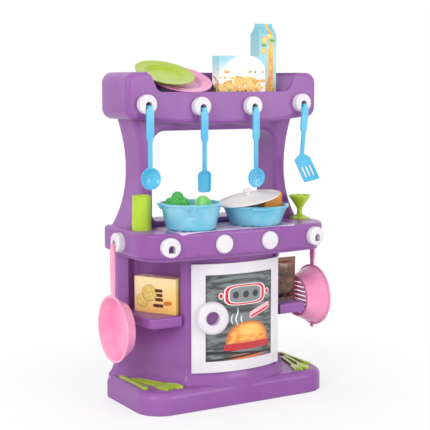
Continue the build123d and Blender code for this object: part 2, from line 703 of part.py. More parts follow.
def top_shelf():
    """The trough over the arch: rounded ends, a front wall that dips between two ears, peg sockets."""
    top = TRAY_TOP
    front_view = outline(
        [
            (-TRAY_HALF_WIDTH, TRAY_END_BOTTOM), (TRAY_HALF_WIDTH, TRAY_END_BOTTOM),
            (TRAY_HALF_WIDTH, top), (-TRAY_HALF_WIDTH, top),
        ],
        TRAY_CORNER,
    )
    front_view += shelf_underside((TRAY_END_BOTTOM + top) / 2)
    body = prism_y(front_view, TRAY_FRONT_Y, TRAY_BACK_Y)
    rims = [e for e in body.edges() if abs(e.center().Y - TRAY_FRONT_Y) < 0.1]
    body = fillet(rims, TRAY_EDGE)
    over = top + 5
    trough = outline(
        [
            (-EAR_HALF, over), (-EAR_HALF, top - 6), (-DIP_HALF, DIP_TOP), (-TROUGH_HALF, TRAY_FLOOR),
            (TROUGH_HALF, TRAY_FLOOR), (DIP_HALF, DIP_TOP), (EAR_HALF, top - 6), (EAR_HALF, over),
        ],
        [0, 10, 10, TROUGH_CORNER, TROUGH_CORNER, 10, 10, 0],
    )
    body -= prism_y(trough, TRAY_FRONT_Y + TRAY_WALL, TRAY_BACK_Y - TRAY_WALL)
    dip = outline(
        [
            (-EAR_HALF - 10, over), (-EAR_HALF - 10, top), (-EAR_HALF + 4, top - 5), (-DIP_HALF - 4, DIP_TOP),
            (DIP_HALF + 4, DIP_TOP), (EAR_HALF - 4, top - 5), (EAR_HALF + 10, top), (EAR_HALF + 10, over),
        ],
        [0, 0, 14, 16, 16, 14, 0, 0],
    )
    body -= prism_y(dip, TRAY_FRONT_Y - 1, TRAY_FRONT_Y + TRAY_WALL + 1)
    for x, z in TOP_HOOKS:
        body -= Pos(x, TRAY_FRONT_Y, z) * peg_holes()
    for side in (-1, 1):
        body -= tenon(side, TRAY_MIDDLE_BOTTOM - 1, TRAY_END_BOTTOM + TENON_LENGTH / 2 + GAP, GAP)
    return body


def hook():
    """A round hook: domed disc with an arch-shaped hole and two pegs behind. Origin on its seat."""
    disc = Pos(0, -HOOK_DEPTH / 2, 0) * Rot(90, 0, 0) * Cylinder(DISC_RADIUS, HOOK_DEPTH)
    disc = fillet(disc.edges().sort_by(Axis.Y)[0], DISC_EDGE)
    half = ARCH_WIDTH / 2
    arch = Pos(0, ARCH_TOP - half) * Circle(half)
    arch += Pos(0, (ARCH_BOTTOM + ARCH_TOP - half) / 2) * Rectangle(ARCH_WIDTH, ARCH_TOP - half - ARCH_BOTTOM)
    disc -= prism_y(arch, -HOOK_DEPTH - 1, 1)
    for x in (-HOOK_PEG_X, HOOK_PEG_X):
        disc += Pos(x, HOOK_PEG_LENGTH / 2, 0) * Rot(90, 0, 0) * Cylinder(HOOK_PEG_RADIUS, HOOK_PEG_LENGTH)
    return disc


def knob():
    """A plain domed knob with its spindle. Origin on the seat, -Y outwards."""
    cap = Pos(0, -GAP - KNOB_HEIGHT / 2, 0) * Rot(90, 0, 0) * Cylinder(KNOB_RADIUS, KNOB_HEIGHT)
    cap = fillet(cap.edges().sort_by(Axis.Y)[0], KNOB_HEIGHT * 0.7)
    spindle = Rot(90, 0, 0) * Cylinder(SPINDLE_RADIUS, SPINDLE_LENGTH + GAP)
    spindle = Pos(0, (SPINDLE_LENGTH - GAP) / 2, 0) * spindle
    return cap + spindle


def hanging_handle(end, wide_end, narrow=HANDLE_NARROW):
    """Nub, neck and flat handle, down to a point given in front view. Origin at the nub's middle."""
    end_x, end_z = end
    share = wide_end / -end_z
    wide = HANDLE_WIDTH / 2
    slim = narrow / 2
    middle = share * end_x
    points = [
        (-NUB_WIDTH / 2, NUB_RADIUS - 1), (-NUB_WIDTH / 2, -1), (-wide, -HANDLE_SHOULDER),
        (middle - wide, -wide_end), (middle - slim, -wide_end - 10), (end_x - slim, end_z),
        (end_x + slim, end_z), (middle + slim, -wide_end - 10), (middle + wide, -wide_end),
        (wide, -HANDLE_SHOULDER), (NUB_WIDTH / 2, -1), (NUB_WIDTH / 2, NUB_RADIUS - 1),
    ]
    radii = [1.5, 0, 3, 6, 6, 0, 0, 6, 6, 3, 0, 1.5]
    blade = prism_y(outline(points, radii), HANDLE_FRONT, HANDLE_BACK)
    neck = box_between(
        (-NUB_WIDTH / 2, HANDLE_FRONT + 1, -NUB_RADIUS + 1), (NUB_WIDTH / 2, 0, NUB_RADIUS - 1)
    )
    nub = Rot(0, 90, 0) * Cylinder(NUB_RADIUS, NUB_WIDTH)
    return blade + neck + nub


def ladle():
    """The ladle: a round bowl that faces the front."""
    handle = hanging_handle((0, -LADLE_DROP + LADLE_RADIUS - 3), HANDLE_WIDE_END)
    bowl = Pos(0, HANDLE_FRONT, -LADLE_DROP) * Rot(90, 0, 0) * dish(LADLE_RADIUS, LADLE_DEPTH, BOWL_WALL)
    hollow = Pos(0, HANDLE_FRONT, -LADLE_DROP) * Rot(90, 0, 0) * (
        Pos(0, 0, 5) * Cylinder(LADLE_RADIUS - BOWL_WALL, 12)
    )
    return (handle - hollow) + bowl


def spoon():
    """The serving spoon: a broad blade with a shallow hollow."""
    shoulder = -SPOON_DROP + SPOON_LENGTH
    half = SPOON_WIDTH / 2
    points = [
        (-half, shoulder), (half, shoulder), (half - 1.5, -SPOON_DROP), (-half + 1.5, -SPOON_DROP),
    ]
    blade = prism_y(outline(points, [11, 11, 6, 6]), HANDLE_FRONT, HANDLE_FRONT + 2 * BLADE_THICKNESS)
    hollow = [(x * 0.8, z + (2.5 if z == -SPOON_DROP else -3.0)) for x, z in points]
    blade -= prism_y(outline(hollow, [8, 8, 5, 5]), HANDLE_FRONT - 1, HANDLE_FRONT + BLADE_THICKNESS)
    return hanging_handle((0, shoulder - 1.5), HANDLE_WIDE_END) + blade


def skimmer():
    """The skimmer: a shallow round pan pierced by rings of small holes."""
    handle = hanging_handle((0, -SKIMMER_DROP + SKIMMER_RADIUS - 2), HANDLE_WIDE_END)
    pan = Rot(90, 0, 0) * dish(SKIMMER_RADIUS, SKIMMER_DEPTH, BOWL_WALL)
    hole = Rot(90, 0, 0) * Cylinder(SKIMMER_HOLE, 30)
    holes = [Pos(0, 0, 0) * hole]
    for ring, count in ((6.2, 6), (12.4, 12)):
        for i in range(count):
            angle = 2 * math.pi * i / count
            holes.append(Pos(ring * math.cos(angle), 0, ring * math.sin(angle)) * hole)
    pan -= Part() + holes
    hollow = Rot(90, 0, 0) * Pos(0, 0, 5) * Cylinder(SKIMMER_RADIUS - BOWL_WALL, 12)
    place = Pos(0, HANDLE_FRONT, -SKIMMER_DROP)
    return (handle - place * hollow) + place * pan


def turner():
    """The slotted turner: a blade set askew on its handle, with three slots."""
    corners = [TURNER_NECK, TURNER_SHOULDERS[0], TURNER_TIPS[0], TURNER_TIPS[1], TURNER_SHOULDERS[1]]
    blade = prism_y(outline(corners, [2, 4, 3, 3, 4]), HANDLE_FRONT, HANDLE_FRONT + BLADE_THICKNESS)
    (ax, az), (bx, bz) = TURNER_TIPS
    (cx, cz), (dx, dz) = TURNER_SHOULDERS
    angle = math.degrees(math.atan2(cz - az, cx - ax))
    slot = SlotOverall(26, TURNER_SLOT, rotation=angle)
    for share in (0.25, 0.5, 0.75):
        x = ax + (bx - ax) * share + (cx - ax) * 0.42
        z = az + (bz - az) * share + (cz - az) * 0.42
        blade -= prism_y(Pos(x, z) * slot, HANDLE_FRONT - 1, HANDLE_FRONT + BLADE_THICKNESS + 1)
    neck_x, neck_z = TURNER_NECK
    return hanging_handle((neck_x + 1, neck_z - 8), HANDLE_WIDE_END - 10) + blade


def hung_pan(rim, base, depth, drop, lip):
    """A round pan hung by its handle: the mouth faces outwards, the base is towards the wall."""
    wall = POT_WALL
    outside = turned([(0, 0), (rim, 0), (rim, -lip), (rim - 3, -lip), (base, -depth), (0, -depth)])
    inside = turned([(0, 1), (rim - wall - 2, 1), (base - wall, -depth + wall), (0, -depth + wall)])
    body = Rot(90, 0, 0) * (outside - inside)
    inside = Rot(90, 0, 0) * inside
    place = Pos(0, HANDLE_FRONT, -drop)
    handle = hanging_handle((0, -drop + rim - 4), drop - rim - 22, 11.0)
    return (handle - place * inside) + place * body


def frying_pan():
    """The frying pan, with a raised ring inside its floor."""
    return hung_pan(PAN_RADIUS, PAN_BASE, PAN_DEPTH, PAN_DROP, 3.0)


def colander():
    """The colander: a deeper bowl whose base has rows of slots, and a small rest tab under the rim."""
    body = hung_pan(COLANDER_RADIUS, COLANDER_BASE, COLANDER_DEPTH, COLANDER_DROP, 3.0)
    back = HANDLE_FRONT + COLANDER_DEPTH
    rows = int(2 * (COLANDER_BASE - 8) // COLANDER_PITCH)
    for i in range(rows + 1):
        z = (i - rows / 2) * COLANDER_PITCH
        half = math.sqrt((COLANDER_BASE - 6) ** 2 - z**2)
        slot = SlotOverall(2 * half, COLANDER_SLOT)
        body -= prism_y(Pos(0, z - COLANDER_DROP) * slot, back - POT_WALL - 2, back + 2)
    rim = -COLANDER_DROP - COLANDER_RADIUS
    tab = box_between((-5, HANDLE_FRONT, rim - 7), (5, HANDLE_FRONT + 3, rim + 2))
    return body + fillet(tab.edges().filter_by(Axis.Y).sort_by(Axis.Z)[:2], 4)


def pot(foot, rim, height):
    """Outside and inside of a tapered pot with a rolled rim, standing on zero."""
    outside = turned([
        (0, 0), (foot - 3, 0), (foot, 3), (rim - POT_RIM, height - 5), (rim + POT_RIM / 2, height - 4),
        (rim + POT_RIM / 2, height), (0, height),
    ])
    inside = turned([
        (0, POT_WALL), (foot - 3 - POT_WALL, POT_WALL), (foot - POT_WALL, 3 + POT_WALL),
        (rim - POT_RIM - POT_WALL + 1, height + 1), (0, height + 1),
    ])
    return outside, inside


def saucepan():
    """The saucepan: tapered wall, pouring lip and a loop handle that points at the viewer."""
    outside, inside = pot(SAUCEPAN_FOOT, SAUCEPAN_RIM, SAUCEPAN_HEIGHT)
    reach = SAUCEPAN_RIM + SPOUT_REACH - SPOUT_RADIUS
    lip = Pos(reach, 0, SAUCEPAN_HEIGHT - SPOUT_DEPTH / 2) * Cone(1, SPOUT_RADIUS, SPOUT_DEPTH)
    hollow = Cone(0.6, SPOUT_RADIUS - POT_WALL / 3, SPOUT_DEPTH + 0.5)
    lip_hollow = Pos(reach - POT_WALL, 0, SAUCEPAN_HEIGHT - SPOUT_DEPTH / 2 + 0.5) * hollow
    outside += Rot(0, 0, SPOUT_ANGLE) * lip
    inside += Rot(0, 0, SPOUT_ANGLE) * lip_hollow
    loop = RectangleRounded(LOOP_LENGTH, LOOP_WIDTH, LOOP_WIDTH / 2 - 0.5)
    hole_length, hole_width = LOOP_LENGTH - 2 * LOOP_BAR, LOOP_WIDTH - 2 * LOOP_BAR
    loop -= RectangleRounded(hole_length, hole_width, hole_width / 2 - 0.4)
    bar = extrude(Pos(LOOP_LENGTH / 2, 0) * loop, LOOP_BAR)
    bar = Pos(SAUCEPAN_RIM - 5, 0, SAUCEPAN_HEIGHT - 7) * Rot(0, LOOP_SLOPE, 0) * bar
    body = outside + Rot(0, 0, LOOP_ANGLE) * bar - inside
    return Pos(*SAUCEPAN_AT, RIB_TOP) * body


def casserole():
    """The casserole: a wider pot with a flat ear at the front and one at the back."""
    outside, inside = pot(CASSEROLE_FOOT, CASSEROLE_RIM, CASSEROLE_HEIGHT)
    for turn in (0, 180):
        ear = Pos(CASSEROLE_RIM + EAR_REACH / 2 - 4, 0) * RectangleRounded(EAR_REACH + 8, EAR_WIDTH, 7)
        outside += Rot(0, 0, EAR_ANGLE + turn) * Pos(0, 0, CASSEROLE_HEIGHT - 4) * extrude(ear, 3)
    return Pos(*CASSEROLE_AT, RIB_TOP) * (outside - inside)


def lid_place():
    """The lid's frame: it leans on the casserole's left rim and rises to the right."""
    x, y = CASSEROLE_AT
    left_rim = x - CASSEROLE_RIM
    centre_x = x + LID_OFFSET
    rise = (centre_x - left_rim) * math.tan(math.radians(LID_TILT))
    return Pos(centre_x, y, RIB_TOP + CASSEROLE_HEIGHT + GAP + rise) * Rot(0, -LID_TILT, 0)


def lid():
    """The lid: a low dome with a rim and a turned knob."""
    shell = Rot(180, 0, 0) * dish(LID_RADIUS - 3, LID_DOME, LID_WALL)
    rim = Cylinder(LID_RADIUS, 2.4) - Cylinder(LID_RADIUS - 3 - LID_WALL, 3)
    knob_low = LID_DOME - 1.0
    stem = Pos(0, 0, knob_low + LID_KNOB_HEIGHT / 2) * Cylinder(LID_KNOB_RADIUS * 0.7, LID_KNOB_HEIGHT)
    cap = Pos(0, 0, knob_low + LID_KNOB_HEIGHT - 2) * Cylinder(LID_KNOB_RADIUS, 6)
    cap = fillet(cap.edges(), 2.2)
    return lid_place() * (shell + Pos(0, 0, 1.2) * rim + stem + cap)


def lid_underside(x):
    """The height of the lid's lower face above a given X."""
    left_rim = CASSEROLE_AT[0] - CASSEROLE_RIM
    return RIB_TOP + CASSEROLE_HEIGHT + GAP + (x - left_rim) * math.tan(math.radians(LID_TILT))


def fish_fillet():
    """The breaded fillet, on edge in the casserole; its upper edge follows the lid's underside."""
    x, y = CASSEROLE_AT
    base = RIB_TOP + POT_WALL + GAP
    brim = RIB_TOP + CASSEROLE_HEIGHT
    gap = GAP / math.cos(math.radians(LID_TILT))
    left, right = x + 0.4 * CASSEROLE_RIM, x + CASSEROLE_RIM - 9
    points = [
        (x + 2, base), (x + CASSEROLE_FOOT - 13, base), (right, brim - 6),
        (right, lid_underside(right) - gap), (left, lid_underside(left) - gap), (x + 12, brim - 4),
    ]
    body = prism_y(outline(points, [8, 8, 8, 7, 8, 14]), y - FILLET_THICKNESS / 2, y + FILLET_THICKNESS / 2)
    rims = body.edges().filter_by(lambda e: abs(abs(e.center().Y - y) - FILLET_THICKNESS / 2) < 0.1)
    return fillet(rims, 4)


def broccoli():
    """The broccoli: a stalk with a ring of florets and one on top."""
    x, y = SAUCEPAN_AT
    floor = RIB_TOP + POT_WALL + GAP
    place = Pos(x + BROCCOLI_AT[0], y + BROCCOLI_AT[1], floor)
    height = BROCCOLI_TOP - BROCCOLI_RADIUS
    head = Pos(0, 0, height / 2 - 4) * Cone(*BROCCOLI_STALK, height - 8)
    head += Pos(0, 0, height) * Rot(12, 0, 0) * Sphere(BROCCOLI_RADIUS)
    floret = Pos(BROCCOLI_RING, 0, height - BROCCOLI_DROP) * Rot(0, 90, 0) * Sphere(BROCCOLI_RADIUS - 1)
    for i in range(5):
        head += Rot(0, 0, 17 + 72 * i) * floret
    return place * head


def lettuce():
    """The lettuce head: a tall round head, flat where it stands."""
    x, y = SAUCEPAN_AT
    floor = RIB_TOP + POT_WALL + GAP
    half = LETTUCE_HEIGHT / 2
    head = scale(Sphere(1), by=(LETTUCE_RADIUS, LETTUCE_RADIUS, half * 1.08))
    head &= Pos(0, 0, half * 0.08) * Box(CUT_LENGTH, CUT_LENGTH, 2 * half)
    return Pos(x + LETTUCE_AT[0], y + LETTUCE_AT[1], floor + half * 0.92) * head


def tumbler():
    """The tumbler, stood upside down: its sunken base is on top."""
    radius, height = TUMBLER_RADIUS, TUMBLER_HEIGHT
    profile = [
        (radius - CUP_WALL, 0), (radius, 0), (radius - 1.5, height - 2), (radius - 3.5, height),
        (radius - 5, height), (radius - 6, height - 2.5), (0, height - 2.5), (0, height - 2.5 - CUP_WALL),
        (radius - 2 - CUP_WALL, height - 2.5 - CUP_WALL),
    ]
    return Pos(*TUMBLER_AT, WORKTOP_TOP) * turned(profile)


def goblet():
    """The goblet: domed foot, short stem, open conical bowl."""
    height = GOBLET_HEIGHT
    profile = [
        (0, 0), (GOBLET_FOOT, 0), (GOBLET_FOOT, 2.5), (12, 6), (6, 10), (5, 17), (6.5, 24),
        (GOBLET_RIM - 0.5, height - 3), (GOBLET_RIM, height), (GOBLET_RIM - CUP_WALL, height),
        (GOBLET_RIM - CUP_WALL - 1, height - 3), (5, 27), (0, 26),
    ]
    return Pos(*GOBLET_AT, WORKTOP_TOP) * turned(profile)


def plate(radius):
    """A plate, its rim plane at zero: sloping flange, steep shoulder, flat well."""
    shoulder = radius - PLATE_FLANGE
    well = shoulder - PLATE_SLOPE
    outer = [(0, -PLATE_DEPTH), (well, -PLATE_DEPTH), (shoulder, -4.0), (radius, -PLATE_WALL + 0.5)]
    floor = -PLATE_DEPTH + PLATE_WALL
    inner = [(radius, 0.5), (shoulder, -4.0 + PLATE_WALL), (well, floor), (0, floor)]
    return turned(outer + inner)


def plate_place():
    """The pink plate's frame: flange on the front wall's top, shoulder against the back wall's top."""
    front = (TRAY_FRONT_Y, DIP_TOP)
    back = (TRAY_BACK_Y - TRAY_WALL, TRAY_TOP)
    shoulder = PINK_PLATE_RADIUS - PLATE_FLANGE
    rest_back = (shoulder - PLATE_SLOPE / 2, -(PLATE_DEPTH + 4.0) / 2 - GAP)
    rest_front = -PLATE_WALL - GAP
    span = math.hypot(back[0] - front[0], back[1] - front[1])
    chord = math.atan2(back[1] - front[1], back[0] - front[0])
    tilt = chord + math.asin((rest_front - rest_back[1]) / span)
    centre_y = back[0] - rest_back[0] * math.cos(tilt) + rest_back[1] * math.sin(tilt)
    centre_z = back[1] - rest_back[0] * math.sin(tilt) - rest_back[1] * math.cos(tilt)
    return Pos(PINK_PLATE_X, centre_y, centre_z) * Rot(math.degrees(tilt), 0, 0)


def plates():
    """The pink plate, and the smaller green one that lies on it."""
    lift = PLATE_DEPTH + 0.5 + GAP
    return {
        "pink_plate": plate_place() * plate(PINK_PLATE_RADIUS),
        "green_plate": plate_place() * Pos(*GREEN_PLATE_SHIFT, lift) * plate(GREEN_PLATE_RADIUS),
    }


def carton_box(size):
    """A packet with slightly softened edges, standing on zero."""
    block = Pos(0, 0, size[2] / 2) * Box(*size)
    return fillet(block.edges(), PACKET_EDGE)


def cereal_box():
    """The cereal box, upright in the trough against the front wall."""
    y = TRAY_FRONT_Y + TRAY_WALL + GAP + CEREAL_SIZE[1] / 2
    return Pos(CEREAL_X, y, TRAY_FLOOR) * carton_box(CEREAL_SIZE)


def juice_carton():
    """The tall carton with its gable top and pinched ridge, behind the cereal box."""
    width, depth, height = CARTON_SIZE
    y = TRAY_FRONT_Y + TRAY_WALL + CEREAL_SIZE[1] + 3 * GAP + depth / 2
    side = outline(
        [
            (-depth / 2, 0), (depth / 2, 0), (depth / 2, height), (1.2, height + CARTON_GABLE - 7),
            (1.2, height + CARTON_GABLE), (-1.2, height + CARTON_GABLE), (-1.2, height + CARTON_GABLE - 7),
            (-depth / 2, height),
        ],
        0,
    )
    body = extrude(Plane.YZ * side, width / 2, both=True)
    return Pos(CARTON_X, y, TRAY_FLOOR) * body


def biscuit_box():
    """The biscuit box, on the left shelf with its back in the niche."""
    depth = NICHE_DEPTH - GAP - BISCUIT_SIZE[1] / 2
    place = Pos(COLUMN_HALF_WIDTH, COLUMN_CORNER_Y, SHELF_TOP) * Rot(0, 0, -math.degrees(WALL_ANGLE))
    block = Rot(0, 0, 90) * carton_box(BISCUIT_SIZE)
    return mirror(place * Pos(-depth, NICHE_FRONT_BORDER + BISCUIT_ALONG, 0) * block, Plane.YZ)


def chocolate_packet():
    """The dark foil packet: a flat pillow with pinched ends, on the right shelf."""
    width, depth, height = CHOCOLATE_SIZE
    side = outline(
        [
            (-0.8, 0), (0.8, 0), (0.8, 6), (depth / 2, 16), (depth / 2, height - 16), (0.8, height - 6),
            (0.8, height), (-0.8, height), (-0.8, height - 6), (-depth / 2, height - 16), (-depth / 2, 16),
            (-0.8, 6),
        ],
        [0, 0, 0, 8, 8, 0, 0, 0, 0, 8, 8, 0],
    )
    body = extrude(Plane.YZ * side, width / 2, both=True)
    return Pos(CHOCOLATE_X, CHOCOLATE_Y, SHELF_TOP) * body


def cutlery_piece(kind):
    """A toy knife, fork or spoon lying flat, from its handle's end at the origin along +X."""
    length, half, neck_half = CUTLERY_LENGTH, CUTLERY_HANDLE / 2, CUTLERY_NECK / 2
    head = CUTLERY_HEAD_SHARE * length
    neck = length - head
    root = neck - CUTLERY_NECK / 2
    round_end = 0.85 * half
    handle = [(0, -half), (neck, -neck_half), (neck, neck_half), (0, half)]
    plan = outline(handle, [round_end, 0, 0, round_end])
    if kind == "knife":
        side = KNIFE_WIDTH / 2
        plan += outline(
            [(root, -neck_half), (length, -side), (length, side), (root, neck_half)],
            [0, 0.8 * side, 0.8 * side, 0],
        )
    elif kind == "fork":
        side = FORK_WIDTH / 2
        shoulder = neck + 0.7 * FORK_WIDTH
        plan += outline(
            [
                (root, -neck_half), (shoulder, -side), (length, -side), (length, side), (shoulder, side),
                (root, neck_half),
            ],
            [0, 0.6 * side, 0, 0, 0.6 * side, 0],
        )
        for y in (-side / 2, 0, side / 2):
            plan -= Pos(length - 0.4 * TINE_LENGTH, y) * SlotOverall(TINE_LENGTH, TINE_GAP)
    else:
        plan += Pos(neck + head / 2 - 1, 0) * Ellipse(head / 2 + 1, SPOON_HEAD_WIDTH / 2)
    piece = extrude(plan, CUTLERY_THICKNESS)
    if kind == "spoon":
        bowl = scale(Sphere(1), by=(head / 2 - 1, 0.41 * SPOON_HEAD_WIDTH, SPOON_HOLLOW))
        piece -= Pos(neck + head / 2 - 1, 0, CUTLERY_THICKNESS) * bowl
    return piece


def cutlery():
    """Both sets of cutlery, fanned out on the plinth."""
    pieces = {}
    for name, (x, y) in CUTLERY_AT.items():
        kind = name.split("_")[1]
        pieces[name] = Pos(x, y, PLINTH_HEIGHT) * Rot(0, 0, CUTLERY_ANGLE[name]) * cutlery_piece(kind)
    return pieces


def hung_pieces():
    """The four hooks of the top shelf and what hangs from them, then the two side hooks' pans."""
    pieces = {}
    nub = Pos(0, PIVOT_Y, PIVOT_Z)
    hung = {"ladle": ladle, "serving_spoon": spoon, "skimmer": skimmer, "turner": turner}
    for i, (name, maker) in enumerate(hung.items()):
        x, z = TOP_HOOKS[i]
        seat = Pos(x, TRAY_FRONT_Y, z)
        pieces[f"top_hook_{i + 1}"] = seat * hook()
        pieces[name] = seat * nub * maker()
    places = counter_places()
    for name in ("counter_hook_left", "counter_hook_right", "side_hook_left", "side_hook_right"):
        pieces[name] = places[name] * hook()
    pieces["left_knob"] = places["left_knob"] * knob()
    pieces["right_knob"] = places["right_knob"] * knob()
    pieces["frying_pan"] = places["side_hook_left"] * nub * frying_pan()
    pieces["colander"] = places["side_hook_right"] * nub * colander()
    return pieces


def assemble():
    """Every piece by its node's name."""
    door = oven_door()
    return {
        "plinth": plinth(),
        "cabinet": cabinet(),
        "left_side_shelf": side_shelf(-1),
        "right_side_shelf": side_shelf(1),
        "plinth_screws": screws(),
        "hinge_pins": hinge_pins(),
        "oven_door": door,
        "door_picture": door_picture(),
        "door_hole_cap": door_hole_cap(),
        "door_ring_handle": door_ring_handle(door),
        "worktop": worktop(),
        "hob_grid": hob_grid(),
        "back_frame": back_frame(),
        "top_shelf": top_shelf(),
        **hung_pieces(),
        **plates(),
        "cereal_box": cereal_box(),
        "juice_carton": juice_carton(),
        "saucepan": saucepan(),
        "broccoli": broccoli(),
        "lettuce": lettuce(),
        "casserole": casserole(),
        "casserole_lid": lid(),
        "fish_fillet": fish_fillet(),
        "tumbler": tumbler(),
        "goblet": goblet(),
        "biscuit_box": biscuit_box(),
        "chocolate_packet": chocolate_packet(),
        **cutlery(),
    }


os.makedirs("parts", exist_ok=True)
for node, shape in assemble().items():
    export_step(shape, f"parts/{node}.step")
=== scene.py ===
"""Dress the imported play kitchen: plastics, printed packets, toy food, studio light and camera.

Lengths are in metres in the model's own frame: X to the right, -Y to the front, Z up from the floor.
"""

import logging
import math
from dataclasses import dataclass
from enum import Enum
from typing import Protocol

import bpy
import numpy as np
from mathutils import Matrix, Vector


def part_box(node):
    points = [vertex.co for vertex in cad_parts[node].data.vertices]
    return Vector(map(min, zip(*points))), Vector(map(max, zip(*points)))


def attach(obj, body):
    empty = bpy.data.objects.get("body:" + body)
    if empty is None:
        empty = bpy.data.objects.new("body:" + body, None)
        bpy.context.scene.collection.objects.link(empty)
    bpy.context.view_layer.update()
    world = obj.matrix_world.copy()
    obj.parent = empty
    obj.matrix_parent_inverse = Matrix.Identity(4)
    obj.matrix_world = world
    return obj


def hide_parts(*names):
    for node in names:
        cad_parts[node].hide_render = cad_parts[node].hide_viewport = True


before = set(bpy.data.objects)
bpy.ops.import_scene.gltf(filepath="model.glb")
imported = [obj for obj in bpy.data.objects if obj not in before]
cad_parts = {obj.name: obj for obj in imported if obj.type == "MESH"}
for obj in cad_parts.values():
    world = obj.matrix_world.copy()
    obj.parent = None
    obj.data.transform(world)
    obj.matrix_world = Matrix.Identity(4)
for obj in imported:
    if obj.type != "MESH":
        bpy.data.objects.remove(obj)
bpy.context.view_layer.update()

LOG = logging.getLogger("play_kitchen")
MM = 0.001
Colour = tuple[int, int, int]
Socket = bpy.types.NodeSocket
Value = Socket | float | tuple


@dataclass(frozen=True)
class Skin:
    """A mean roughness, a clear coat's weight, a fine grain's strength and a specular level."""

    roughness: float
    coat: float
    grain: float
    shine: float


class Surface(Enum):
    """How a moulded part leaves its mould."""

    SATIN = Skin(0.33, 0.15, 0.06, 0.32)
    GLOSSY = Skin(0.22, 0.30, 0.04, 0.45)


class Finish(Protocol):
    """Anything that can make its own material."""

    def build(self) -> bpy.types.Material:
        """Make the material and return it."""


def linear(colour: Colour) -> tuple[float, float, float, float]:
    """Turn an 8-bit screen colour into the renderer's linear light.

    Args:
        colour: red, green and blue, 0 to 255.

    Returns:
        The same colour as linear red, green, blue and an alpha of one.
    """
    parts = [c / 255 for c in colour]
    light = [p / 12.92 if p <= 0.04045 else ((p + 0.055) / 1.055) ** 2.4 for p in parts]
    return (light[0], light[1], light[2], 1.0)


